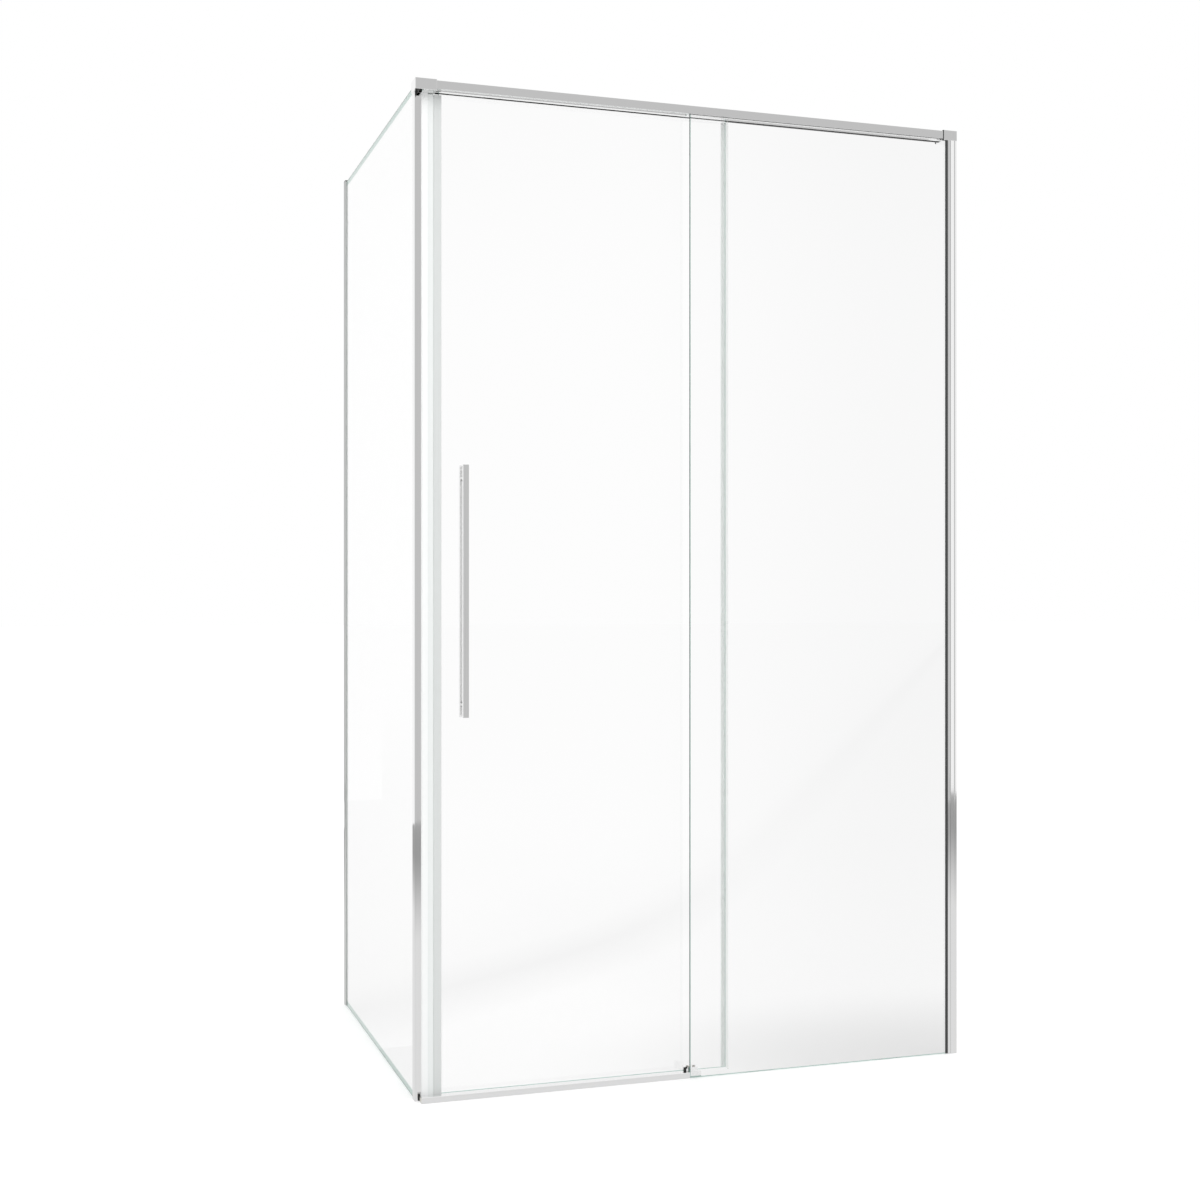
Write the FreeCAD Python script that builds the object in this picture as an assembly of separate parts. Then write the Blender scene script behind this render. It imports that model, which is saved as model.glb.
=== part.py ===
import FreeCAD, Part
import math
import os

# Corner shower enclosure: a fixed side pane, a fixed front pane and a glass door that
# slides behind it, hung in a slim rail.  Millimetres, +Z up, and the floor is z = 0.
# X runs along the front from the corner post to the wall, Y runs from the front to the
# back wall.  The parts are laid out from the front left corner, and are written with
# the origin at the middle of the base.

# Overall sizes
overall_width = 1193.0
overall_depth = 857.0
overall_height = 2000.0
clear_past = 1.0             # how far a cut runs past the face it leaves

# Glass
glass_thickness = 6.0
glass_arris = 0.5
glass_floor_gap = 1.0
side_glass_top_gap = 4.0
door_width = 610.0
door_floor_gap = 9.6
panel_overlap = 88.0
door_setback = 19.4          # from the back of the fixed pane to the front of the door
pocket_gap = 14.0            # from the open door's handle to the fixed pane's edge

# Rail that carries the door
rail_height = 16.2
rail_face_wall = 1.4
rail_wall = 1.6
rail_recess_depth = 1.2
slot_front_gap = 1.7
slot_back_gap = 2.1
rail_end_gap = 3.2           # from the post's inner face to the end of the rail
fixed_glass_top_gap = 2.1    # between the rail and the seal on top of the fixed pane

# End caps of the rail
cap_wall = 1.4
cap_top_wall = 2.2
cap_floor = 3.1
corner_cap_length = 43.0
end_cap_length = 31.5
end_gasket_width = 1.1
end_gasket_inset = 0.2       # from the end cap's outline to its gasket
end_cap_wall = 3.0
cap_edge = 0.6
cap_screw_inset = 11.0       # from a cap's open end to its screw

# Clearances and small fits
slide_fit = 0.1
running_gap = 0.3
loose_gap = 0.4
bore_fit = 0.05

# Glazing seals
lip_seal = 0.7
seal_wall = 1.0

# Corner post round the front edge of the side pane
side_glass_inset = 5.8
post_wall = 1.2
post_web = 1.8
post_lead = 7.5              # from the post's front to the middle of the door
post_depth = 20.5
post_outer_seal = 1.0
post_inner_seal = 3.8
post_seal_room = 1.7         # between the post's web and its seal
post_edge = 0.4
post_seal_setback = 0.5

# Moulded head between the post and the corner cap
head_recess = 1.0
head_side = 5.2              # from the post's inner face to the head
gusset_height = 10.5
gusset_inset = 1.4
gusset_slant = 1.0
gusset_side = 2.2
gusset_thickness = 1.4

# Wall channel and the glazing channel that slides in it
channel_seal = 0.9           # between the glass and the glazing channel
channel_wall = 1.4
channel_base = 1.6
channel_leg = 15.0
channel_bevel = 0.8
channel_bevel_reach = 4.7
channel_face_fall = 0.4      # how far the outer face falls back towards its flat
channel_flat_reach = 7.0
channel_flat_end = 4.2
glazing_wall = 1.2
glazing_reach = 21.4
glazing_tail = 3.0
glazing_web = 8.5
glazing_web_wall = 1.5
glazing_groove = 0.4
glazing_groove_reach = 18.0
wall_gasket_reach = 27.0
gasket_lip_slope = 1.2
gasket_lip_drop = 1.0
wall_glass_reach = 10.5
wall_hole_radius = 2.5
wall_hole_inset = 150.0      # from the floor, and from the top, to the outer holes
wall_hole_pitch = 600.0      # between the inner holes
joint_screw_low = 90.0       # from the floor to the lowest joint screw
joint_screw_high = 100.0     # from the top to the highest joint screw
joint_screw_reach = 5.5
joint_screw_radius = 1.75
joint_head_radius = 3.5
joint_head_height = 2.0
joint_screw_length = 4.0
top_cover_height = 1.5
top_plug_depth = 12.0
top_plug_gap = 0.5
screw_cap_radius = 5.0
screw_cap_wall = 0.9

# Closing side: strike profile, magnet strip and the seals on the door
strike_width = 13.4
strike_depth = 12.0
strike_wall = 1.4
strip_width = 11.4
strip_depth = 10.0
strip_neck = 2.0
strip_foot = 5.0
magnet_thickness = 2.5
magnet_depth = 5.4
magnet_gap = 0.5
magnet_end_inset = 2.0
strip_rib = 1.2
seal_hollow_gap = 0.2
seal_body = 10.3
seal_leg = 5.6
seal_cover = 1.0
seal_top_gap = 0.8
lap_clip = 10.5
lap_fin = 0.8
lap_fin_lean = 3.0
gasket_foot_gap = 0.2
infill_fit = 0.05
infill_lift = 0.6
infill_height = 7.0

# Threshold, bottom guide and glass setting pads
threshold_post_gap = 2.5
threshold_height = 12.0
threshold_wall = 1.4
threshold_chamfer = 0.8
buffer_lap = 3.0             # how far the buffer reaches past the threshold's open end
threshold_past_edge = 25.5
plug_depth = 12.0
buffer_width = 4.2
buffer_height = 13.0
buffer_inset = 2.6           # from the post's inner face to the buffer
guide_height = 9.5
guide_lead = 8.5             # how far the guide's cover starts before the fixed pane
guide_screw_inset = 6.5
guide_head_height = 1.6
guide_nose = 5.5
guide_length = 26.0
guide_nose_setback = 0.5
guide_nose_depth = 3.0
guide_arm_width = 2.5
guide_arm_back = 12.9
guide_hook_reach = 2.6
guide_hook_rise = 1.3
guide_hook_drop = 1.2
guide_back_wall = 3.1
guide_back_lead = 5.0        # how far the guide's back wall starts after its end wall
guide_back_top = 15.0
guide_slot_floor = 8.5
guide_foot_gap = 0.5
guide_cover_wall = 1.0
guide_screw_radius = 1.9
guide_head_radius = 3.4
pad_length = 60.0

# Roller carriages
carriage_length = 70.0
carriage_inset = 22.5
carriage_front_wall = 2.5
carriage_back_wall = 1.5
carriage_top_wall = 2.2
carriage_floor_gap = 0.5
carriage_top_gap = 1.3
bumper_thickness = 3.0
bumper_reach = 7.9
bumper_lift = 1.0
wheel_width = 5.0
wheel_side_gap = 0.9
wheel_step_gap = 1.6         # from the wheel's side to the step of the rail
wheel_top_gap = 2.3
wheel_end_gap = 4.8          # from the wheel's rim to the bumper
tyre_edge = 0.4
tyre_wall = 1.2
bearing_rim_share = 0.28     # of the ring's own thickness
bearing_width = 4.0
bearing_recess = 0.25
axle_radius = 1.5
axle_head_radius = 2.4
axle_head_height = 0.8
stop_length = 10.0
stop_edge = 1.0

# Handle
handle_inset = 46.0
handle_width = 12.0
handle_depth = 9.0
handle_length = 500.0
handle_height = 1000.0
handle_hole_inset = 25.0
handle_corner = 0.8
spacer_length = 7.0
spacer_radius = 5.0
stud_radius = 2.9
stud_entry = 6.0
glass_hole_radius = 4.5

# Screws of the caps
cap_screw_radius = 1.5
cap_screw_head_radius = 3.0
cap_screw_length = 3.0
cap_screw_head_height = 0.9
head_screw_length = 8.0

V = FreeCAD.Vector

# Places that several pieces share, worked out from the sizes above
rail_top = overall_height - cap_top_wall - slide_fit
rail_bottom = rail_top - rail_height
cap_bottom = rail_bottom - slide_fit - cap_floor
track_z = rail_bottom + rail_wall
rail_ceiling = rail_top - rail_wall
middle_z = overall_height / 2
rail_front = cap_wall + slide_fit
channel_front = rail_front + rail_face_wall
fixed_front = channel_front + lip_seal
fixed_back = fixed_front + glass_thickness
channel_back = fixed_back + lip_seal
separator_back = channel_back + rail_face_wall
door_front = fixed_back + door_setback
door_back = door_front + glass_thickness
slot_front = door_front - slot_front_gap
slot_back = door_back + slot_back_gap
rail_back = slot_back + rail_face_wall
cap_back = rail_back + slide_fit + cap_wall
closing_y = (door_front + door_back) / 2

side_glass_x = side_glass_inset
side_glass_x1 = side_glass_x + glass_thickness
post_x0 = side_glass_x - post_outer_seal - post_wall
post_x1 = side_glass_x1 + post_inner_seal + post_wall
post_front = closing_y - post_lead
post_back = post_front + post_depth
side_glass_front = post_front + post_web + post_seal_room + seal_wall
rail_x0 = post_x1 + rail_end_gap

strike_x1 = post_x1 + strike_width
strip_x1 = strike_x1 + strip_width
seal_x0 = strip_x1 + magnet_gap
door_x0 = seal_x0 + seal_body
door_x1 = door_x0 + door_width
fixed_x0 = door_x1 - panel_overlap
fixed_x1 = overall_width - wall_glass_reach

handle_x0 = door_x0 + handle_inset
handle_x1 = handle_x0 + handle_width
door_travel = fixed_x0 - pocket_gap - handle_x1

carriage_left_x = door_x0 + carriage_inset
carriage_right_x = door_x1 - carriage_inset - carriage_length
carriage_bottom = track_z + carriage_floor_gap
carriage_top = rail_ceiling - carriage_top_gap
door_top = carriage_top - carriage_top_wall - slide_fit
carriage_front = door_front - slide_fit - carriage_front_wall
wheel_radius = (rail_ceiling - track_z - running_gap - wheel_top_gap) / 2
wheel_spacing = carriage_length - 2 * (bumper_thickness + wheel_end_gap + wheel_radius)
bearing_radius = wheel_radius - tyre_wall
bearing_rim = (bearing_radius - axle_radius) * bearing_rim_share
axle_z = track_z + running_gap + wheel_radius
wheel_back = carriage_front - wheel_side_gap
wheel_front = wheel_back - wheel_width
bumper_front = carriage_front - bumper_reach
recess_back = wheel_front - wheel_step_gap - rail_face_wall

fixed_top = rail_ceiling - fixed_glass_top_gap - seal_wall
side_top = overall_height - side_glass_top_gap
seal_top = cap_bottom - seal_top_gap
threshold_front = fixed_front
threshold_back = post_front - threshold_post_gap
buffer_x1 = post_x1 - buffer_inset
buffer_x0 = buffer_x1 - buffer_width
threshold_left = buffer_x0 + buffer_lap

channel_width = glass_thickness + 2 * (channel_seal + glazing_wall + slide_fit + channel_wall)
wall_hole_heights = (wall_hole_inset, middle_z - wall_hole_pitch / 2,
                     middle_z + wall_hole_pitch / 2, overall_height - wall_hole_inset)
joint_screw_heights = (joint_screw_low, middle_z, overall_height - joint_screw_high)


def box(x0, x1, y0, y1, z0, z1):
    """A block between two corners."""
    return Part.makeBox(x1 - x0, y1 - y0, z1 - z0, V(x0, y0, z0))


def rod(radius, start, direction, length):
    """A round bar from a start point along a direction."""
    return Part.makeCylinder(radius, length, V(*start), V(*direction))


def tube(outer, inner, start, direction, length):
    """A ring or sleeve."""
    return rod(outer, start, direction, length).cut(rod(inner, start, direction, length))


def prism(points, direction):
    """A closed outline of 3-D points, extruded."""
    outline = [V(*p) for p in points]
    return Part.Face(Part.makePolygon(outline + outline[:1])).extrude(V(*direction))


def prism_z(points, z0, z1):
    """An outline in plan, extruded upwards."""
    return prism([(x, y, z0) for x, y in points], (0, 0, z1 - z0))


def prism_x(points, x0, x1):
    """An outline of (y, z) points, extruded along the front."""
    return prism([(x0, y, z) for y, z in points], (x1 - x0, 0, 0))


def ease_edges(shape, size, wanted):
    """Chamfer the straight edges that a test picks out."""
    edges = [e for e in shape.Edges if wanted(e)]
    return shape.makeChamfer(size, edges)


def pane(x0, x1, y0, y1, z0, z1):
    """A sheet of glass with ground edges."""
    return ease_edges(box(x0, x1, y0, y1, z0, z1), glass_arris, lambda e: True)


def make_rail():
    """The extruded rail: a glass channel in front, a wheel track, and a door slot behind."""
    x1 = overall_width - end_cap_wall - slide_fit
    recess_z = rail_bottom + rail_recess_depth
    outline = [
        (rail_front, rail_bottom), (channel_front, rail_bottom),
        (channel_front, rail_ceiling), (channel_back, rail_ceiling),
        (channel_back, recess_z), (recess_back, recess_z), (recess_back, rail_bottom),
        (slot_front, rail_bottom), (slot_front, track_z),
        (recess_back + rail_face_wall, track_z),
        (recess_back + rail_face_wall, recess_z + rail_face_wall),
        (separator_back, recess_z + rail_face_wall),
        (separator_back, rail_ceiling), (slot_back, rail_ceiling),
        (slot_back, rail_bottom), (rail_back, rail_bottom),
        (rail_back, rail_top), (rail_front, rail_top),
    ]
    rail = prism_x(outline, rail_x0, x1)
    for x in cap_screw_xs():
        rail = rail.cut(cap_screw_hole(x))
    return rail


def rail_middle():
    """Height of the middle of the rail."""
    return (rail_top + rail_bottom) / 2


def cap_screw_xs():
    """Places of the screws that join the caps to the rail."""
    return (corner_cap_length - cap_screw_inset,
            overall_width - end_cap_length + cap_screw_inset)


def cap_screw_hole(x):
    """The hole for one cap screw, through the cap's and the rail's back walls."""
    return rod(cap_screw_radius, (x, cap_back, rail_middle()), (0, -1, 0),
               cap_screw_length + clear_past)


def hollow_cap(x0, x1):
    """A cap's outer block with room for the rail, still closed at both ends."""
    outer = box(x0, x1, 0, cap_back, cap_bottom, overall_height)
    return ease_edges(outer, cap_edge, lambda e: e.BoundBox.YMax < cap_edge)


def rail_room(x0, x1):
    """The space inside a cap that the rail slides into."""
    return box(x0, x1, cap_wall, cap_back - cap_wall,
               cap_bottom + cap_floor, rail_top + slide_fit)


def make_corner_cap():
    """The cap at the corner: it takes the rail, the post head and the side pane's corner."""
    cap = hollow_cap(0, corner_cap_length)
    cap = cap.cut(rail_room(end_cap_wall, corner_cap_length))
    window_back = post_front - loose_gap
    cap = cap.cut(box(end_cap_wall, post_x1, cap_wall, window_back,
                      cap_bottom, cap_bottom + cap_floor))
    cap = cap.cut(box(side_glass_x - running_gap, side_glass_x1 + running_gap,
                      side_glass_front - running_gap, cap_back,
                      cap_bottom, side_top + running_gap))
    cap = cap.cut(box(rail_x0, corner_cap_length, slot_front, slot_back,
                      cap_bottom, cap_bottom + cap_floor))
    cap = cap.cut(cap_screw_hole(cap_screw_xs()[0]))
    return cap.cut(rod(cap_screw_radius, (head_screw_x(), head_screw_y(), overall_height),
                       (0, 0, -1), cap_top_wall + clear_past))


def make_end_cap():
    """The cap at the wall: it takes the rail and stands on the front wall channel."""
    x0 = overall_width - end_cap_length
    cap = hollow_cap(x0, overall_width)
    cap = cap.cut(rail_room(x0, overall_width - end_cap_wall))
    cap = cap.cut(box(x0, fixed_x1 + loose_gap, fixed_front - running_gap,
                      fixed_back + running_gap, cap_bottom, cap_bottom + cap_floor))
    return cap.cut(cap_screw_hole(cap_screw_xs()[1]))


def make_end_cap_gasket():
    """The strip round the rail where it enters the end cap."""
    x1 = overall_width - end_cap_length
    x0 = x1 - end_gasket_width
    z0 = cap_bottom + end_gasket_inset
    z1 = overall_height - end_gasket_inset
    ring = box(x0, x1, end_gasket_inset, cap_back - end_gasket_inset, z0, z1)
    return ring.cut(box(x0, x1, rail_front, rail_back, z0, rail_top))


def head_screw_x():
    """X of the screw that ties the corner cap to the post head."""
    return (end_cap_wall + post_x1 - head_side) / 2


def head_screw_y():
    """Y of the screw that ties the corner cap to the post head."""
    return (cap_wall + post_front) / 2


def make_post_head():
    """The moulded head that locates the post under the corner cap."""
    x0 = end_cap_wall + slide_fit
    x1 = post_x1 - slide_fit - head_side
    y1 = post_front - loose_gap - slide_fit
    z0 = cap_bottom + head_recess
    head = box(x0, x1, cap_wall + slide_fit, y1, z0, rail_top)
    left = x0 + gusset_inset
    right = x1 - gusset_side
    gusset = [(left, z0), (right, z0), (right, cap_bottom),
              (left + gusset_slant, cap_bottom - gusset_height)]
    nose = prism([(x, y1 - gusset_thickness, z) for x, z in gusset],
                 (0, post_front - y1 + gusset_thickness, 0))
    nose = nose.cut(box(0, post_x1, y1, cap_back, cap_bottom, overall_height))
    head = head.fuse(nose)
    return head.cut(rod(cap_screw_radius, (head_screw_x(), head_screw_y(), rail_top),
                        (0, 0, -1), head_screw_length))


def cap_screw(start, direction):
    """A pan-head screw: the head stands on the start point, the shank goes along direction."""
    back = [-d for d in direction]
    head = rod(cap_screw_head_radius, start, back, cap_screw_head_height)
    shank = rod(cap_screw_radius, start, direction, cap_screw_length)
    return head.fuse(shank)


def make_cap_screws():
    """The screws that hold both caps to the rail."""
    return Part.makeCompound([cap_screw((x, cap_back, rail_middle()), (0, -1, 0))
                              for x in cap_screw_xs()])


def make_head_screw():
    """The headless screw from the corner cap's top into the post head."""
    x, y = head_screw_x(), head_screw_y()
    return rod(cap_screw_radius, (x, y, overall_height), (0, 0, -1), head_screw_length)


def make_post():
    """The U-shaped corner post."""
    outline = [
        (post_x0, post_front), (post_x1, post_front), (post_x1, post_back),
        (post_x1 - post_wall, post_back), (post_x1 - post_wall, post_front + post_web),
        (post_x0 + post_wall, post_front + post_web), (post_x0 + post_wall, post_back),
        (post_x0, post_back),
    ]
    post = prism_z(outline, 0, cap_bottom)
    return ease_edges(post, post_edge, lambda e: e.Length > cap_bottom - clear_past
                      and e.BoundBox.YMax < post_front + post_edge)


def make_post_gasket():
    """The seal round the side pane's front edge, inside the post."""
    x0 = post_x0 + post_wall
    x1 = post_x1 - post_wall
    end = post_back - post_seal_setback
    outline = [
        (x0, side_glass_front - seal_wall), (x1, side_glass_front - seal_wall),
        (x1, end), (side_glass_x1, end),
        (side_glass_x1, side_glass_front), (side_glass_x, side_glass_front),
        (side_glass_x, end), (x0, end),
    ]
    return prism_z(outline, glass_floor_gap, cap_bottom)


def jamb(points, z0, z1, place):
    """A wall profile's outline, given as (distance from the wall, across the glass)."""
    return prism_z([place(a, b) for a, b in points], z0, z1)


def mirrored(points):
    """An outline from the half on one side of the glass."""
    return points + [(a, -b) for a, b in reversed(points)]


def front_place(a, b):
    """Plan position in the front wall profile."""
    return (overall_width - a, (fixed_front + fixed_back) / 2 + b)


def side_place(a, b):
    """Plan position in the side wall profile."""
    return ((side_glass_x + side_glass_x1) / 2 + b, overall_depth - a)


def front_hole(radius, a, b, z, along_wall, length):
    """A round bar in the front wall profile: along the glass, or across it."""
    x, y = front_place(a, b)
    return rod(radius, (x, y, z), (-1, 0, 0) if along_wall else (0, 1, 0), length)


def side_hole(radius, a, b, z, along_wall, length):
    """A round bar in the side wall profile: along the glass, or across it."""
    x, y = side_place(a, b)
    return rod(radius, (x, y, z), (0, -1, 0) if along_wall else (1, 0, 0), length)


def make_wall_channel(place, hole, z1):
    """The channel that is screwed to the wall."""
    half = channel_width / 2
    inner = half - channel_wall
    bevel = half - channel_bevel
    flat = half - channel_face_fall
    outline = [
        (0, bevel), (channel_bevel_reach, half),
        (channel_leg - channel_bevel_reach, half), (channel_leg, bevel),
        (channel_leg, inner), (channel_base, inner), (channel_base, -inner),
        (channel_leg, -inner), (channel_leg, -half), (channel_flat_reach, -flat),
        (channel_flat_end, -flat), (0, -bevel + channel_face_fall),
    ]
    channel = jamb(outline, 0, z1, place)
    for z in wall_hole_heights:
        channel = channel.cut(hole(wall_hole_radius, -clear_past, 0, z, True,
                                   channel_base + 2 * clear_past))
    for z in joint_screw_heights:
        channel = channel.cut(hole(joint_screw_radius, joint_screw_reach, 0, z, False,
                                   half + clear_past))
    return channel


def make_glazing_channel(place, hole, z1):
    """The channel that holds the glass and slides in the wall channel."""
    outer = channel_width / 2 - channel_wall - slide_fit
    inner = outer - glazing_wall
    web_end = glazing_web + glazing_web_wall
    g = glazing_groove
    outline = mirrored([
        (glazing_tail, inner), (glazing_tail, outer),
        (glazing_groove_reach - g, outer), (glazing_groove_reach, outer - g),
        (glazing_groove_reach + g, outer), (glazing_reach, outer),
        (glazing_reach, inner),
    ])
    solid = jamb(outline, 0, z1, place)
    mouth = glazing_reach + clear_past
    tail = glazing_tail - clear_past
    for a0, a1 in ((web_end, mouth), (tail, glazing_web)):
        room = [(a0, inner), (a1, inner), (a1, -inner), (a0, -inner)]
        solid = solid.cut(jamb(room, -clear_past, z1 + clear_past, place))
    for z in joint_screw_heights:
        solid = solid.cut(hole(joint_screw_radius, joint_screw_reach, 0, z, False,
                               channel_width))
    return solid


def make_glazing_gasket(place, z1):
    """The seal round the glass edge, with a lip that shows past the glazing channel."""
    inner = channel_width / 2 - channel_wall - slide_fit - glazing_wall
    half = glass_thickness / 2
    lip = inner + glazing_wall
    web_end = glazing_web + glazing_web_wall
    outline = [
        (wall_glass_reach, -half), (wall_gasket_reach, -half),
        (wall_gasket_reach, gasket_lip_drop - lip), (wall_gasket_reach - gasket_lip_slope, -lip),
        (glazing_reach, -lip), (glazing_reach, -inner), (web_end, -inner), (web_end, inner),
        (glazing_reach, inner), (glazing_reach, half), (wall_glass_reach, half),
    ]
    return jamb(outline, glass_floor_gap, z1, place)


def joint_screws(hole):
    """The screws that lock one glazing channel in its wall channel."""
    half = channel_width / 2
    screws = []
    for z in joint_screw_heights:
        shank = hole(joint_screw_radius, joint_screw_reach, half - joint_screw_length, z, False,
                     joint_screw_length)
        head = hole(joint_head_radius, joint_screw_reach, half, z, False, joint_head_height)
        screws.append(head.fuse(shank))
    return screws


def screw_covers(hole):
    """The snap covers over one profile's screws."""
    half = channel_width / 2
    covers = []
    for z in joint_screw_heights:
        height = joint_head_height + screw_cap_wall
        cover = hole(screw_cap_radius, joint_screw_reach, half, z, False, height)
        room = hole(joint_head_radius, joint_screw_reach, half, z, False, joint_head_height)
        covers.append(cover.cut(room))
    return covers


def make_side_top_cover():
    """The plug that closes the top of the side wall profile."""
    half = channel_width / 2 - channel_bevel
    z0 = side_profile_top()
    plate = jamb([(0, half), (glazing_reach, half), (glazing_reach, -half), (0, -half)],
                 z0, overall_height, side_place)
    inner = channel_width / 2 - channel_wall - slide_fit - glazing_wall - slide_fit
    a0, a1 = glazing_tail + top_plug_gap, glazing_web - slide_fit
    plug = jamb([(a0, inner), (a1, inner), (a1, -inner), (a0, -inner)],
                z0 - top_plug_depth, z0, side_place)
    return plate.fuse(plug)


def side_profile_top():
    """Height where the side wall profile ends and its cover begins."""
    return overall_height - top_cover_height


def make_strike_profile():
    """The hollow profile on the post that the closed door meets."""
    y0 = closing_y - strike_depth / 2
    y1 = closing_y + strike_depth / 2
    outer = box(post_x1, strike_x1, y0, y1, 0, cap_bottom)
    room = box(post_x1 + strike_wall, strike_x1 - strike_wall,
               y0 + strike_wall, y1 - strike_wall, -clear_past, overall_height)
    half = strip_neck / 2 + slide_fit
    slot = box(strike_x1 - strike_wall - clear_past, strike_x1 + clear_past,
               closing_y - half, closing_y + half, -clear_past, overall_height)
    return outer.cut(room).cut(slot)


def magnet_room(x0):
    """The pocket for a magnet strip that starts at x0."""
    half = magnet_depth / 2 + slide_fit
    return box(x0 - slide_fit, x0 + magnet_thickness + slide_fit,
               closing_y - half, closing_y + half, 0, overall_height)


def make_magnet(x0):
    """One flexible magnet strip."""
    half = magnet_depth / 2
    return box(x0, x0 + magnet_thickness, closing_y - half, closing_y + half,
               door_floor_gap + magnet_end_inset, seal_top - magnet_end_inset)


def make_magnet_strip():
    """The strip that plugs into the strike profile and holds its magnet."""
    half = strip_depth / 2
    strip = box(strike_x1, strip_x1, closing_y - half, closing_y + half,
                door_floor_gap, seal_top)
    neck = box(strike_x1 - strike_wall, strike_x1, closing_y - strip_neck / 2,
               closing_y + strip_neck / 2, door_floor_gap, seal_top)
    foot_x1 = strike_x1 - strike_wall
    foot = box(foot_x1 - strip_rib, foot_x1, closing_y - strip_foot / 2,
               closing_y + strip_foot / 2, door_floor_gap, seal_top)
    hollow = box(strike_x1 + seal_wall, strike_magnet_x() - strip_rib,
                 closing_y - half + seal_wall, closing_y + half - seal_wall,
                 0, overall_height)
    return strip.fuse([neck, foot]).cut(hollow).cut(magnet_room(strike_magnet_x()))


def strike_magnet_x():
    """Start of the magnet on the post side."""
    return strip_x1 - seal_wall - magnet_thickness


def door_magnet_x():
    """Start of the magnet on the door."""
    return seal_x0 + seal_wall


def make_door_magnet_seal():
    """The seal that clips on the door's leading edge and holds the other magnet."""
    y0 = door_front - seal_cover
    y1 = door_back + seal_cover
    seal = box(seal_x0, door_x0 + seal_leg, y0, y1, door_floor_gap, seal_top)
    glass = box(door_x0, door_x1, door_front, door_back, 0, overall_height)
    hollow = box(door_magnet_x() + magnet_thickness + strip_rib, door_x0 - seal_wall,
                 door_front + seal_hollow_gap, door_back - seal_hollow_gap, 0, overall_height)
    return seal.cut(glass).cut(hollow).cut(magnet_room(door_magnet_x()))


def make_lap_seal():
    """The seal on the door's trailing edge, with a fin that reaches the fixed pane."""
    y0 = door_front - seal_cover
    y1 = door_back + seal_cover
    x1 = door_x1 + seal_cover
    clip = box(x1 - lap_clip, x1, y0, y1, door_floor_gap, seal_top)
    glass = box(door_x0, door_x1, door_front, door_back, 0, overall_height)
    tip_x = x1 - lap_fin_lean
    tip_y = fixed_back + loose_gap
    fin = prism_z([(x1 - lap_fin, y0), (x1, y0), (tip_x, tip_y), (tip_x - lap_fin, tip_y)],
                  door_floor_gap, seal_top)
    return clip.cut(glass).fuse(fin)


def make_fixed_glass():
    """The fixed front pane."""
    return pane(fixed_x0, fixed_x1, fixed_front, fixed_back, glass_floor_gap, fixed_top)


def make_side_glass():
    """The side pane, from the corner post to the back wall."""
    return pane(side_glass_x, side_glass_x1, side_glass_front,
                overall_depth - wall_glass_reach, glass_floor_gap, side_top)


def make_rail_gasket():
    """The seal between the fixed pane's top and the rail."""
    z0 = rail_bottom + gasket_foot_gap
    z1 = fixed_top + seal_wall
    x0 = fixed_x0
    x1 = overall_width - end_cap_length - slide_fit
    outer = box(x0, x1, channel_front, channel_back, z0, z1)
    return outer.cut(box(x0, x1, fixed_front, fixed_back, 0, fixed_top))


def make_rail_infill():
    """The strip that closes the rail's empty glass channel above the entrance."""
    x0 = corner_cap_length + slide_fit
    x1 = fixed_x0 - slide_fit
    y0 = channel_front + infill_fit
    y1 = channel_back - infill_fit
    z0 = rail_bottom + infill_lift
    strip = box(x0, x1, y0, y1, z0, z0 + infill_height)
    return strip.cut(box(x0, x1, y0 + seal_wall, y1 - seal_wall, z0 + seal_wall, rail_top))


def make_setting_pads():
    """The pads that the fixed panes stand on."""
    fixed_length = fixed_x1 - fixed_x0
    side_end = overall_depth - wall_glass_reach
    side_length = side_end - side_glass_front
    pads = []
    for share in (0.25, 0.75):
        x = fixed_x0 + fixed_length * share - pad_length / 2
        pads.append(box(x, x + pad_length, fixed_front, fixed_back, 0, glass_floor_gap))
        y = side_glass_front + side_length * share - pad_length / 2
        pads.append(box(side_glass_x, side_glass_x1, y, y + pad_length, 0, glass_floor_gap))
    return Part.makeCompound(pads)


def make_threshold():
    """The hollow strip on the floor in front of the door, notched behind the fixed pane."""
    x0 = threshold_left
    x1 = fixed_x0 - running_gap
    x2 = fixed_x0 + threshold_past_edge
    notch_y = fixed_back + running_gap
    wall = threshold_wall
    top = threshold_height
    c = threshold_chamfer
    outline = [(threshold_front, 0), (threshold_back, 0), (threshold_back, top - c),
               (threshold_back - c, top), (threshold_front + c, top), (threshold_front, top - c)]
    long_part = prism_x(outline, x0, x1)
    long_part = long_part.cut(box(x0, x1 - wall, threshold_front + wall,
                                  threshold_back - wall, wall, top - wall))
    short_outline = [(notch_y, 0), (threshold_back, 0), (threshold_back, top - c),
                     (threshold_back - c, top), (notch_y, top)]
    short_part = prism_x(short_outline, x1, x2)
    short_part = short_part.cut(box(x1, x2, notch_y + wall, threshold_back - wall,
                                    wall, top - wall))
    strip = long_part.fuse(short_part)
    for x in guide_screw_xs():
        strip = strip.cut(rod(guide_screw_radius, (x, guide_screw_y(), top), (0, 0, -1),
                              wall + clear_past))
    return strip.removeSplitter()


def make_threshold_plugs():
    """The plugs in the threshold's two open ends."""
    wall = threshold_wall + slide_fit
    x0 = threshold_left
    z0, z1 = wall, threshold_height - wall
    left = box(x0, x0 + plug_depth, threshold_front + wall, threshold_back - wall, z0, z1)
    x2 = fixed_x0 + threshold_past_edge
    notch_y = fixed_back + running_gap
    right = box(x2 - plug_depth, x2, notch_y + wall, threshold_back - wall, z0, z1)
    return Part.makeCompound([left, right])


def make_threshold_buffer():
    """The buffer between the threshold's left end and the post."""
    z0 = threshold_wall + slide_fit
    return box(buffer_x0, buffer_x1, threshold_back, post_front, z0, z0 + buffer_height)


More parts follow.
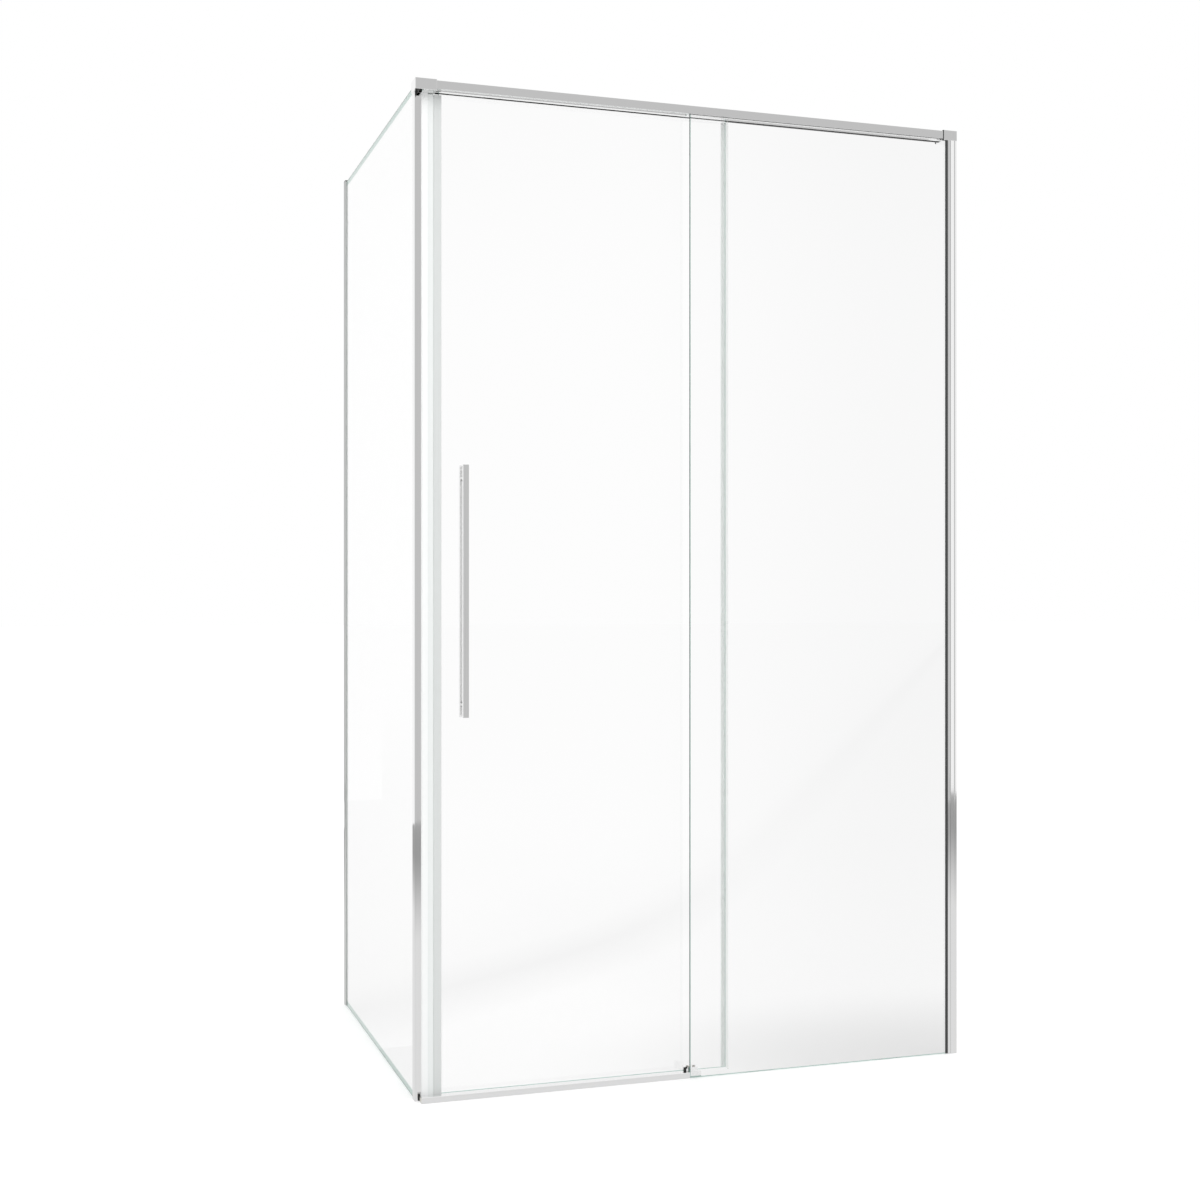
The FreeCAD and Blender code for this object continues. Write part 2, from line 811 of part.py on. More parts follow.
def guide_x0():
    """Left end of the bottom guide."""
    return fixed_x0 - guide_lead - guide_nose


def guide_screw_xs():
    """Places of the guide's screws along the front."""
    start = guide_x0() + guide_nose
    return (start + guide_screw_inset, start + guide_length - guide_screw_inset)


def guide_screw_y():
    """Place of the guide's screws across the threshold."""
    return (fixed_back + threshold_back) / 2


def guide_cover_y0():
    """Front face of the guide's cover."""
    return fixed_back + running_gap


def make_guide_body():
    """The moulded guide: its slot holds the door's bottom edge, its nose hooks the cover."""
    x0 = guide_x0()
    x1 = x0 + guide_nose
    inside = x1 + guide_cover_wall
    x2 = x1 + guide_length - guide_cover_wall
    back_x0 = inside + guide_back_lead
    base = threshold_height
    top = base + guide_height
    room_top = top - guide_cover_wall
    cover_y0 = guide_cover_y0()
    room_y0 = cover_y0 + guide_cover_wall
    slot_y0 = door_front - loose_gap
    slot_y1 = door_back + loose_gap
    back_y1 = slot_y1 + guide_back_wall
    drop_y0 = threshold_back + slide_fit
    nose_y0 = threshold_front + guide_nose_setback
    nose_y1 = nose_y0 + guide_nose_depth
    body = box(inside, x2, room_y0, slot_y0, base, room_top).fuse([
        box(x0, x1, nose_y0, nose_y1, base, top + guide_hook_rise),
        box(x1, x1 + guide_hook_reach, nose_y0, cover_y0, top - guide_hook_drop,
            top + guide_hook_rise),
        box(x1 - guide_arm_width, x1, nose_y1, guide_arm_back, base, top),
        box(x1, inside, room_y0, guide_arm_back, base, room_top),
        box(inside, x2, drop_y0, slot_y0, guide_foot_gap, room_top),
        box(back_x0, x2, drop_y0, back_y1, guide_foot_gap, guide_slot_floor),
        box(back_x0, x2, slot_y1, back_y1, guide_foot_gap, guide_back_top),
    ]).removeSplitter()
    for x in guide_screw_xs():
        body = body.cut(rod(guide_screw_radius, (x, guide_screw_y(), top), (0, 0, -1),
                            guide_height))
    return body


def make_guide_cover():
    """The polished cover over the guide, with a window for the arm of the guide's nose."""
    x0 = guide_x0() + guide_nose
    x1 = x0 + guide_length
    wall = guide_cover_wall
    base = threshold_height
    top = base + guide_height
    y0 = guide_cover_y0()
    y1 = door_front - loose_gap - slide_fit
    cover = box(x0, x1, y0, y1, base, top)
    cover = cover.cut(box(x0 + wall, x1 - wall, y0 + wall, y1, base, top - wall))
    cover = cover.cut(box(x0, x0 + wall, y0 + wall, guide_arm_back, base, top - wall))
    for x in guide_screw_xs():
        cover = cover.cut(rod(guide_screw_radius, (x, guide_screw_y(), top), (0, 0, -1), wall))
    return cover


def make_guide_screws():
    """The screws that hold the guide and its cover to the threshold."""
    top = threshold_height + guide_height
    screws = []
    for x in guide_screw_xs():
        shank = rod(guide_screw_radius, (x, guide_screw_y(), top), (0, 0, -1),
                    guide_height + threshold_wall)
        head = rod(guide_head_radius, (x, guide_screw_y(), top), (0, 0, 1), guide_head_height)
        screws.append(head.fuse(shank))
    return Part.makeCompound(screws)


def make_door_glass():
    """The sliding pane, drilled for the handle."""
    glass = pane(door_x0, door_x1, door_front, door_back, door_floor_gap, door_top)
    for z in handle_hole_heights():
        glass = glass.cut(rod(glass_hole_radius, (handle_middle_x(), door_front, z),
                              (0, 1, 0), glass_thickness))
    return glass


def wheel_xs(x0):
    """Places of the two wheels on a carriage that starts at x0."""
    middle = x0 + carriage_length / 2
    return (middle - wheel_spacing / 2, middle + wheel_spacing / 2)


def make_carriage(x0):
    """A carriage: a clamp bonded over the door's top edge, with a bumper at each end."""
    x1 = x0 + carriage_length
    y1 = door_back + slide_fit + carriage_back_wall
    block = box(x0, x1, carriage_front, y1, carriage_bottom, carriage_top)
    block = block.cut(box(x0, x1, door_front - slide_fit, door_back + slide_fit,
                          carriage_bottom, door_top + slide_fit))
    bumper_z = carriage_bottom + bumper_lift
    for start in (x0, x1 - bumper_thickness):
        block = block.fuse(box(start, start + bumper_thickness, bumper_front, carriage_front,
                               bumper_z, carriage_top))
    for x in wheel_xs(x0):
        block = block.cut(rod(axle_radius, (x, carriage_front, axle_z), (0, 1, 0),
                              carriage_front_wall))
    return block


def make_axles():
    """The headed axles, pressed into the carriages."""
    bearing_back = wheel_back - (wheel_width - bearing_width) / 2
    bearing_front = bearing_back - bearing_width
    axles = []
    for start in (carriage_left_x, carriage_right_x):
        for x in wheel_xs(start):
            y0 = bearing_front - running_gap - axle_head_height
            head = rod(axle_head_radius, (x, y0, axle_z), (0, 1, 0), axle_head_height)
            shank = rod(axle_radius, (x, y0, axle_z), (0, 1, 0), door_front - slide_fit - y0)
            collar_y = bearing_back + running_gap
            collar = rod(axle_head_radius, (x, collar_y, axle_z), (0, 1, 0),
                         carriage_front - collar_y)
            axles.append(shank.fuse([head, collar]))
    return Part.makeCompound(axles)


def make_wheel_tyre(x):
    """The moulded tyre of one wheel."""
    tyre = tube(wheel_radius, bearing_radius, (x, wheel_front, axle_z), (0, 1, 0), wheel_width)
    rim = [e for e in tyre.Edges if abs(e.Length - 2 * math.pi * wheel_radius) < tyre_edge]
    return tyre.makeChamfer(tyre_edge, rim)


def make_wheel_bearing(x):
    """The bearing of one wheel, with its shields set back."""
    y0 = wheel_front + (wheel_width - bearing_width) / 2
    ring = tube(bearing_radius, axle_radius + bore_fit, (x, y0, axle_z), (0, 1, 0), bearing_width)
    for y in (y0, y0 + bearing_width - bearing_recess):
        ring = ring.cut(tube(bearing_radius - bearing_rim, axle_radius + bearing_rim,
                             (x, y, axle_z), (0, 1, 0), bearing_recess))
    return ring


def make_rail_stop(x0):
    """A buffer block clamped on the wheel track."""
    y0 = recess_back + rail_face_wall + slide_fit
    block = box(x0, x0 + stop_length, y0, carriage_front - slide_fit, track_z, rail_ceiling)
    return ease_edges(block, stop_edge, lambda e: e.BoundBox.YMax < y0 + slide_fit
                      and e.BoundBox.ZLength > stop_edge)


def handle_middle_x():
    """X of the middle of the handle."""
    return (handle_x0 + handle_x1) / 2


def handle_hole_heights():
    """Heights of the handle's two fixings."""
    reach = handle_length / 2 - handle_hole_inset
    return (handle_height - reach, handle_height + reach)


def make_handle_bar(y0, glass_side):
    """One handle bar; glass_side is 1 where the glass lies behind it, and -1 in front."""
    z0 = handle_height - handle_length / 2
    bar = box(handle_x0, handle_x1, y0, y0 + handle_depth, z0, z0 + handle_length)
    bar = ease_edges(bar, handle_corner, lambda e: e.BoundBox.ZLength > handle_width)
    face = y0 + handle_depth if glass_side > 0 else y0
    for z in handle_hole_heights():
        bar = bar.cut(rod(stud_radius + slide_fit, (handle_middle_x(), face, z),
                          (0, -glass_side, 0), stud_entry + slide_fit))
    return bar


def make_handle_spacers():
    """The sleeves that stand the bars off the glass."""
    sleeves = []
    for z in handle_hole_heights():
        for y0 in (door_front - spacer_length, door_back):
            sleeves.append(tube(spacer_radius, stud_radius + slide_fit,
                                (handle_middle_x(), y0, z), (0, 1, 0), spacer_length))
    return Part.makeCompound(sleeves)


def make_handle_studs():
    """The threaded studs that tie both bars through the glass."""
    y0 = door_front - spacer_length - stud_entry
    y1 = door_back + spacer_length + stud_entry
    return Part.makeCompound([rod(stud_radius, (handle_middle_x(), y0, z), (0, 1, 0), y1 - y0)
                              for z in handle_hole_heights()])


def make_handle_bushes():
    """The soft bushes that line the holes in the glass."""
    return Part.makeCompound([tube(glass_hole_radius - slide_fit, stud_radius + slide_fit,
                                   (handle_middle_x(), door_front, z), (0, 1, 0), glass_thickness)
                              for z in handle_hole_heights()])


def make_parts():
    """Every node of the enclosure."""
    side_z1 = side_profile_top()
    outer_bar_y = door_front - spacer_length - handle_depth
    inner_bar_y = door_back + spacer_length
    left_stop_x = carriage_left_x - running_gap - stop_length
    right_stop_x = carriage_right_x + carriage_length + door_travel + running_gap
    parts = {
        "top_rail": make_rail(),
        "corner_cap": make_corner_cap(),
        "end_cap": make_end_cap(),
        "end_cap_gasket": make_end_cap_gasket(),
        "cap_screws": make_cap_screws(),
        "post_head": make_post_head(),
        "post_head_screw": make_head_screw(),
        "corner_post": make_post(),
        "post_gasket": make_post_gasket(),
        "side_glass": make_side_glass(),
        "side_wall_channel": make_wall_channel(side_place, side_hole, side_z1),
        "side_glazing_channel": make_glazing_channel(side_place, side_hole, side_z1),
        "side_glazing_gasket": make_glazing_gasket(side_place, side_top),
        "side_top_cover": make_side_top_cover(),
        "front_wall_channel": make_wall_channel(front_place, front_hole, cap_bottom),
        "front_glazing_channel": make_glazing_channel(front_place, front_hole, cap_bottom),
        "front_glazing_gasket": make_glazing_gasket(front_place, cap_bottom),
        "profile_screws": Part.makeCompound(joint_screws(front_hole) + joint_screws(side_hole)),
        "screw_covers": Part.makeCompound(screw_covers(front_hole) + screw_covers(side_hole)),
        "fixed_glass": make_fixed_glass(),
        "rail_gasket": make_rail_gasket(),
        "rail_infill": make_rail_infill(),
        "setting_pads": make_setting_pads(),
        "threshold": make_threshold(),
        "threshold_plugs": make_threshold_plugs(),
        "threshold_buffer": make_threshold_buffer(),
        "guide_body": make_guide_body(),
        "guide_cover": make_guide_cover(),
        "guide_screws": make_guide_screws(),
        "strike_profile": make_strike_profile(),
        "strike_magnet_strip": make_magnet_strip(),
        "strike_magnet": make_magnet(strike_magnet_x()),
        "rail_stop_left": make_rail_stop(left_stop_x),
        "rail_stop_right": make_rail_stop(right_stop_x),
        "door_glass": make_door_glass(),
        "door_magnet_seal": make_door_magnet_seal(),
        "door_magnet": make_magnet(door_magnet_x()),
        "door_lap_seal": make_lap_seal(),
        "carriage_left": make_carriage(carriage_left_x),
        "carriage_right": make_carriage(carriage_right_x),
        "wheel_axles": make_axles(),
        "handle_outer_bar": make_handle_bar(outer_bar_y, 1),
        "handle_inner_bar": make_handle_bar(inner_bar_y, -1),
        "handle_spacers": make_handle_spacers(),
        "handle_studs": make_handle_studs(),
        "handle_bushes": make_handle_bushes(),
    }
    wheels = wheel_xs(carriage_left_x) + wheel_xs(carriage_right_x)
    for number, x in enumerate(wheels, start=1):
        parts["wheel_%d_tyre" % number] = make_wheel_tyre(x)
        parts["wheel_%d_bearing" % number] = make_wheel_bearing(x)
    return parts


def main():
    """Write one STEP file per node, with the origin at the middle of the base."""
    os.makedirs("parts", exist_ok=True)
    for node, shape in make_parts().items():
        shape.translate(V(-overall_width / 2, -overall_depth / 2, 0))
        shape.exportStep("parts/%s.step" % node)
        print(node, len(shape.Solids), "solids,", round(shape.Volume), "mm3,",
              "valid" if shape.isValid() else "NOT VALID")
    print("door travel", round(door_travel, 3), "axle height", round(axle_z, 3),
          "wheel places", [round(x - overall_width / 2, 3) for x in
                           wheel_xs(carriage_left_x) + wheel_xs(carriage_right_x)])


main()
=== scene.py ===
"""Looks of a corner shower enclosure with a sliding glass door.

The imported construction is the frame: it gives every piece its size and place. This script
gives each surface its finish, models the pieces whose rims, sockets and grooves show (handle,
screws, covers), and sets up a plain pale studio with the camera. All lengths are in metres, and
a value in millimetres is written as a number times MM.
"""
import logging
import math
from collections.abc import Callable
from dataclasses import dataclass, field
from enum import Enum
from functools import partial

import bpy
from bpy.types import Material, MeshPolygon, Node, NodeOutputs, NodeSocket, NodeTree, Object, World
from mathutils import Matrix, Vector


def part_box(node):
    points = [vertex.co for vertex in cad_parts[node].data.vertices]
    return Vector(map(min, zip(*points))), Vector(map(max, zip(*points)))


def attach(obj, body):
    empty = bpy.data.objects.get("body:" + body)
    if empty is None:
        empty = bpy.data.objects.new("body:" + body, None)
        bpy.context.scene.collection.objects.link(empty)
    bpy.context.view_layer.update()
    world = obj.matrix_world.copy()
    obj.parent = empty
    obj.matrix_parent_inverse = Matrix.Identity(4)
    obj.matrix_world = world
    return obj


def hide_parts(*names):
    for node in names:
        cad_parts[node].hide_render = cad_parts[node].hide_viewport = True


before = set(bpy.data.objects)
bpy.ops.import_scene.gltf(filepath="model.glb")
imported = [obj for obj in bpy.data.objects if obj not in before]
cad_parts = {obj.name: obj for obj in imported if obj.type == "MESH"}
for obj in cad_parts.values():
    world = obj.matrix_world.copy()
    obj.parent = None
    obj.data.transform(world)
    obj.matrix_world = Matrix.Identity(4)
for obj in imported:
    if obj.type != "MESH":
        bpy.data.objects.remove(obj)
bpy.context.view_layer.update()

log = logging.getLogger("shower_enclosure")

MM = 0.001
PHOTO_SIDE = 1200                  # pixels along each side of the photograph
MERGE_DISTANCE = 0.002 * MM        # the frame's triangles share corners to well under this
SMOOTH_ANGLE = math.radians(35)    # faces that meet at less than this are shaded as one
FLAT_ANGLE = math.radians(0.5)     # triangles that meet at less than this are one flat face
FACES_ALONG = 0.9                  # a face whose normal has this share of a direction looks that way
FACES_ACROSS = 0.1                 # one with less than this share of it looks across
NOISE_LOW, NOISE_HIGH = 0.3, 0.7   # nearly all of a noise pattern lies between these values
HEXAGON = 6                        # sides of a socket
EDGE_STEPS = 2                     # faces across a narrow rounding
RIM_STEPS = 3                      # faces across a rounding that shows
SLIGHT_EDGE = 0.3 * MM             # rounding of polished castings and small mouldings
SOFT_EDGE = 0.4 * MM               # rounding of castings from the mould and of larger mouldings
FULL_EDGE = 0.5 * MM               # rounding of what is touched by moving pieces


# ---------------------------------------------------------------------------------------------
# Shader nodes
# ---------------------------------------------------------------------------------------------

def linear(hex_colour: str) -> tuple[float, float, float, float]:
    """Turns an sRGB colour into the linear one that shaders take.

    Args:
        hex_colour: the colour as "#RRGGBB".

    Returns:
        Linear red, green, blue and an alpha of 1.
    """
    channels = [int(hex_colour[place:place + 2], 16) / 255 for place in (1, 3, 5)]
    red, green, blue = (value / 12.92 if value <= 0.04045 else ((value + 0.055) / 1.055) ** 2.4
                        for value in channels)
    return red, green, blue, 1.0


@dataclass(frozen=True)
class Shading:
    """The shader nodes of one material or world."""

    tree: NodeTree

    @classmethod
    def start(cls, owner: Material | World) -> "Shading":
        """Opens the nodes of a material or world and clears them.

        Args:
            owner: the material or world.

        Returns:
            Its nodes.
        """
        owner.use_nodes = True
        owner.node_tree.nodes.clear()
        return cls(owner.node_tree)

    def add(self, kind: str, inputs: dict | tuple = (), **settings: object) -> Node:
        """Adds one node with its settings, values and links.

        Args:
            kind: the node's type without its "ShaderNode" prefix.
            inputs: what goes in, in order, or by name or number: a value, a socket, or a node
                that gives the first of its outputs in use.
            settings: the node's own options.

        Returns:
            The new node.
        """
        node = self.tree.nodes.new("ShaderNode" + kind)
        for name, value in settings.items():
            setattr(node, name, value)
        for place, value in (inputs if isinstance(inputs, dict) else dict(enumerate(inputs))).items():
            if isinstance(value, Node):
                value = next(output for output in value.outputs if output.enabled)
            if isinstance(value, NodeSocket):
                self.tree.links.new(value, node.inputs[place])
            else:
                node.inputs[place].default_value = value
        return node

    def pass_shadow_rays(self, shader: Node, colour: str) -> Node:
        """Lets shadow rays through a shader in a colour, so that it hardly darkens what is behind."""
        clear = self.add("BsdfTransparent", {"Color": linear(colour)})
        return self.add("MixShader", (self.add("LightPath").outputs["Is Shadow Ray"], shader, clear))


def make_material(name: str, shade: Callable[[Shading], Node]) -> Material:
    """Makes a material with one surface shader.

    Args:
        name: the material's name.
        shade: adds its nodes and returns the last shader.

    Returns:
        The material.
    """
    material = bpy.data.materials.new(name)
    nodes = Shading.start(material)
    nodes.add("OutputMaterial", {"Surface": shade(nodes)})
    return material


@dataclass(frozen=True)
class Fade:
    """A soft change of a value, from the first to the last between start and stop."""

    start: float
    stop: float
    first: float
    last: float

    def over(self, nodes: Shading, value: Node | NodeSocket) -> Node:
        """Adds the change.

        Args:
            nodes: the nodes of the material or world.
            value: what leads the change.

        Returns:
            The node of the changed value.
        """
        return nodes.add("MapRange", {
            "Value": value, "From Min": self.start, "From Max": self.stop,
            "To Min": self.first, "To Max": self.last}, interpolation_type="SMOOTHSTEP")


@dataclass(frozen=True)
class Tones:
    """Colours that a value runs through, each with the value at which it stands, in order."""

    stops: tuple[tuple[float, str], ...]

    def over(self, nodes: Shading, value: Node) -> Node:
        """Adds the colours, led by a value.

        Args:
            nodes: the material's nodes.
            value: the node of the value.

        Returns:
            The node of the colour.
        """
        ramp = nodes.add("ValToRGB", (value,))
        elements = ramp.color_ramp.elements
        for element, (position, colour) in zip(elements, (self.stops[0], self.stops[-1])):
            element.position, element.color = position, linear(colour)
        for position, colour in self.stops[1:-1]:
            elements.new(position).color = linear(colour)
        return ramp


class Direction(Enum):
    """A direction along the enclosure."""

    X = (1.0, 0.0, 0.0)
    Y = (0.0, 1.0, 0.0)
    Z = (0.0, 0.0, 1.0)


# ---------------------------------------------------------------------------------------------
# Finishes
# ---------------------------------------------------------------------------------------------

class Finish:
    """A surface finish, built once as a material and shared by the pieces that have it."""

    def label(self) -> str:
        """Names the finish's material."""
        raise NotImplementedError

    def shade(self, nodes: Shading) -> Node:
        """Adds the finish's nodes and returns the last shader."""
        raise NotImplementedError

    def material(self) -> Material:
        """Builds the finish's material, or finds it when it was built before."""
        return bpy.data.materials.get(self.label()) or make_material(self.label(), self.shade)


@dataclass(frozen=True, kw_only=True)
class PatternedFinish(Finish):
    """A finish whose colour, gloss and relief all follow one fine pattern."""

    name: str
    colours: tuple[str, str]           # where the pattern is weakest and where it is strongest
    roughness: tuple[float, float]     # likewise
    pitch: float                       # the pattern's spacing
    depth: float                       # its height, which only the light shows
    metallic: float = 0.0
    refraction: float = 1.5
    specular: float = 0.5
    transmission: float = 0.0
    opacity: float = 1.0

    def label(self) -> str:
        """Names the finish's material."""
        return self.name

    def pattern(self, nodes: Shading) -> Node:
        """Adds the pattern, from 0 to 1."""
        raise NotImplementedError

    def shade(self, nodes: Shading) -> Node:
        """Lets the pattern lead one shader.

        Args:
            nodes: the material's nodes.

        Returns:
            The shader.
        """
        pattern = self.pattern(nodes)
        colour = nodes.add("Mix", {0: pattern, 6: linear(self.colours[0]),
                                   7: linear(self.colours[1])}, data_type="RGBA")
        gloss = nodes.add("MapRange", {
            "Value": pattern, "From Min": NOISE_LOW, "From Max": NOISE_HIGH,
            "To Min": self.roughness[0], "To Max": self.roughness[1]})
        relief = nodes.add("Bump", {"Strength": 1.0, "Distance": self.depth, "Height": pattern})
        return nodes.add("BsdfPrincipled", {
            "Base Color": colour, "Roughness": gloss, "Normal": relief,
            "Metallic": self.metallic, "IOR": self.refraction, "Specular IOR Level": self.specular,
            "Transmission Weight": self.transmission, "Alpha": self.opacity})


@dataclass(frozen=True, kw_only=True)
class LinedFinish(PatternedFinish):
    """A finish with fine lines along the piece, as a die or a grinding belt leaves them."""

    along: Direction = Direction.Z
    stretch: float = 0.004             # the share of the pattern's density left along the lines
    fineness: float = 0.6              # the weight of the pattern's finer layers

    def label(self) -> str:
        """Names the material, with its direction where pieces of several directions wear it."""
        return self.name.format(axis=self.along.name.lower())

    def pattern(self, nodes: Shading) -> Node:
        """Adds the lines.

        Args:
            nodes: the material's nodes.

        Returns:
            The node of the pattern's value.
        """
        scale = [(self.stretch if share else 1.0) / self.pitch for share in self.along.value]
        place = nodes.add("Mapping", {"Vector": nodes.add("TexCoord").outputs["Object"],
                                      "Scale": scale})
        return nodes.add("TexNoise", {"Vector": place, "Scale": 1.0, "Roughness": self.fineness})


@dataclass(frozen=True, kw_only=True)
class GrainedFinish(PatternedFinish):
    """A finish with an even grain, such as a mould's texture or a casting's ripple."""

    layers: float = 2.0                # finer layers of the pattern

    def pattern(self, nodes: Shading) -> Node:
        """Adds the grain."""
        return nodes.add("TexNoise", {"Vector": nodes.add("TexCoord").outputs["Object"],
                                      "Scale": 1 / self.pitch, "Detail": self.layers})


@dataclass(frozen=True, kw_only=True)
class BrightAluminium(LinedFinish):
    """Bright-dipped and clear-anodised aluminium, extruded through a die.

    The dip leaves it nearly a mirror and the oxide film greys it slightly; the die leaves
    faint lines along its length.
    """

    name: str = "bright_anodised_aluminium_along_{axis}"
    colours: tuple[str, str] = ("#F2F2F2", "#EEEEEE")
    roughness: tuple[float, float] = (0.035, 0.06)
    pitch: float = 1.4 * MM            # real die lines are about 0.3 mm apart, too fine to show
    depth: float = 0.004 * MM
    metallic: float = 1.0


@dataclass(frozen=True, kw_only=True)
class ChromedCasting(GrainedFinish):
    """Chrome plate on a polished zinc die casting.

    A tighter mirror than the extrusions, with the long, low ripple that polishing leaves.
    """

    name: str = "chromed_zinc_casting"
    colours: tuple[str, str] = ("#F3F3F3", "#F0F0F0")
    roughness: tuple[float, float] = (0.03, 0.05)
    pitch: float = 9 * MM
    depth: float = 0.004 * MM
    metallic: float = 1.0


@dataclass(frozen=True, kw_only=True)
class ChromedBar(LinedFinish):
    """Chrome plate on drawn brass bar, the handle's finish.

    The bar was ground lengthwise before plating, so its gloss is slightly streaked.
    """

    name: str = "chromed_brass_bar"
    colours: tuple[str, str] = ("#F1F1F1", "#EBEBEB")
    roughness: tuple[float, float] = (0.08, 0.14)
    pitch: float = 1.0 * MM            # real grinding lines are under 0.1 mm, too fine to show
    depth: float = 0.003 * MM
    metallic: float = 1.0


@dataclass(frozen=True, kw_only=True)
class DieCastZinc(GrainedFinish):
    """Bare zinc die casting, as it leaves the mould: dull grey with a fine cloudy skin."""

    name: str = "bare_zinc_casting"
    colours: tuple[str, str] = ("#A9ACAE", "#989B9E")
    roughness: tuple[float, float] = (0.38, 0.52)
    pitch: float = 0.8 * MM
    depth: float = 0.02 * MM
    metallic: float = 1.0
    layers: float = 3.0


@dataclass(frozen=True, kw_only=True)
class TurnedSteel(GrainedFinish):
    """Stainless steel, cold-headed and turned: satin, with fine tool marks."""

    name: str = "turned_stainless_steel"
    colours: tuple[str, str] = ("#C4C2BE", "#AFADA9")
    roughness: tuple[float, float] = (0.18, 0.3)
    pitch: float = 0.5 * MM
    depth: float = 0.004 * MM
    metallic: float = 1.0


@dataclass(frozen=True, kw_only=True)
class ClearVinyl(LinedFinish):
    """Soft clear vinyl, extruded: milky rather than clear, with flow lines along its length."""

    name: str = "clear_vinyl_extruded_along_{axis}"
    colours: tuple[str, str] = ("#F0F3F2", "#EAEDEC")
    roughness: tuple[float, float] = (0.28, 0.4)
    pitch: float = 1.2 * MM
    depth: float = 0.02 * MM
    refraction: float = 1.53
    transmission: float = 0.06
    shadow_colour: str = "#DDE3E0"

    def shade(self, nodes: Shading) -> Node:
        """Adds the vinyl, which holds back only a little of the light."""
        return nodes.pass_shadow_rays(super().shade(nodes), self.shadow_colour)


@dataclass(frozen=True, kw_only=True)
class Moulding(GrainedFinish):
    """Injection-moulded plastic with the fine texture of an eroded mould."""

    roughness: tuple[float, float] = (0.4, 0.55)
    pitch: float = 0.7 * MM
    depth: float = 0.03 * MM
    specular: float = 0.35


@dataclass(frozen=True, kw_only=True)
class ExtrudedRubber(LinedFinish):
    """Rubber, extruded and cured: matt, with faint lines along its length."""

    roughness: tuple[float, float] = (0.55, 0.7)
    pitch: float = 1.0 * MM
    depth: float = 0.02 * MM
    specular: float = 0.3


@dataclass(frozen=True)
class FloatGlass(Finish):
    """Toughened clear float glass with ground edges.

    The float bath leaves the faces flat and bright. The edges are ground with a fine wheel,
    so they scatter the light that the glass has tinted green on its way through the pane.
    """

    through: Direction                 # the direction of the pane's thickness
    clear_from: float = -1.0           # between these heights the face is clear; beyond them it has a painted reflection of the ground edge
    clear_to: float = 3.0
    face_colour: str = "#FFFFFF"
    # painted reflection: the green that a ground edge shows in the face beside it at a slant
    painted_edge_view_colour: str = "#B4C9C2"
    edge_colour: str = "#6FB09C"
    shadow_colour: str = "#FAFCFB"
    refraction: float = 1.52
    edge_roughness: float = 0.35
    grit: float = 0.4 * MM             # wheel grit is about 0.1 mm, too fine to show
    grit_depth: float = 0.02 * MM

    def label(self) -> str:
        """Names the finish's material."""
        return f"clear_float_glass_through_{self.through.name.lower()}"

    def shade(self, nodes: Shading) -> Node:
        """Tells faces from edges by their normal, and lets light through as a real pane does.

        Args:
            nodes: the material's nodes.

        Returns:
            The shader.
        """
        sums = partial(nodes.add, "Math")
        place = nodes.add("TexCoord").outputs
        height = nodes.add("SeparateXYZ", (place["Object"],)).outputs["Z"]
        in_painted_edge_view = sums((sums((height, self.clear_from), operation="LESS_THAN"),
                       sums((height, self.clear_to), operation="GREATER_THAN")), operation="ADD")
        aligned = nodes.add("VectorMath", (place["Normal"], self.through.value),
                            operation="DOT_PRODUCT")
        is_edge = sums((sums((aligned,), operation="ABSOLUTE"), FACES_ALONG), operation="LESS_THAN")
        # Painted reflection: beside a ground edge the face is painted the green that the edge shows in
        # it at a slant.
        face = nodes.add("Mix", {0: in_painted_edge_view, 6: linear(self.face_colour),
                                 7: linear(self.painted_edge_view_colour)}, data_type="RGBA")
        colour = nodes.add("Mix", {0: is_edge, 6: face, 7: linear(self.edge_colour)},
                           data_type="RGBA")
        grit = nodes.add("TexNoise", {"Vector": nodes.add("TexCoord").outputs["Object"],
                                      "Scale": 1 / self.grit})
        relief = nodes.add("Bump", {
            "Strength": 1.0, "Distance": self.grit_depth,
            "Height": sums((grit, is_edge), operation="MULTIPLY")})
        glass = nodes.add("BsdfPrincipled", {
            "Base Color": colour, "IOR": self.refraction, "Transmission Weight": 1.0,
            "Roughness": sums((is_edge, self.edge_roughness), operation="MULTIPLY"),
            "Normal": relief})
        return nodes.pass_shadow_rays(glass, self.shadow_colour)


# Vinyl in a thick, open section, painted nearly white: partly the light scattered by its many walls,
# partly painted light against the shade of the corner it stands in.
PAINTED_LIGHT_VINYL = ClearVinyl(name="bright_vinyl_extruded_along_{axis}", colours=("#FBFCFC", "#F5F7F6"))
# Vinyl with a soft lip co-extruded on it, which is milkier than the rest.
MILKY_VINYL = ClearVinyl(name="milky_vinyl_extruded_along_{axis}", colours=("#DDE0DF", "#D5D8D7"))
# Hard clear vinyl in a thin section: mostly seen through.
THIN_VINYL = ClearVinyl(name="thin_vinyl_extruded_along_{axis}", opacity=0.22)
# Clear vinyl deep in a channel, painted grey: painted reflection of the metal round it and painted
# shade of the channel.
SHADED_CHANNEL_VINYL = ClearVinyl(name="deep_vinyl_extruded_along_{axis}", colours=("#C2C6C4", "#BABEBC"))
# Glass-filled nylon for what holds and guides: nearly black, hardly any gloss.
BLACK_NYLON = Moulding(name="black_moulded_nylon", colours=("#0C0D0D", "#151616"))
# The same black nylon, painted dark grey: painted light for the dim grey of the cap's shaded inside
# that shows beside the post head.
PAINTED_GREY_NYLON = Moulding(name="nylon_painted_dark_grey", colours=("#2C2D2D", "#383939"))
# Acetal runs dry on the rail: white, slightly waxy.
WHITE_ACETAL = Moulding(name="white_moulded_acetal", colours=("#DEDCD4", "#D3D1C8"),
                        refraction=1.48, specular=0.5, roughness=(0.3, 0.42))
# Glazing rubber, a dark grey that looks lighter than the mouldings.
DARK_GASKET = ExtrudedRubber(name="dark_glazing_rubber", colours=("#454646", "#3A3B3B"))
# Ferrite powder in rubber: brown-black and dull.
MAGNET_RUBBER = ExtrudedRubber(name="ferrite_magnet_rubber", colours=("#2A2725", "#221F1E"))


# ---------------------------------------------------------------------------------------------
# Modelling helpers
# ---------------------------------------------------------------------------------------------

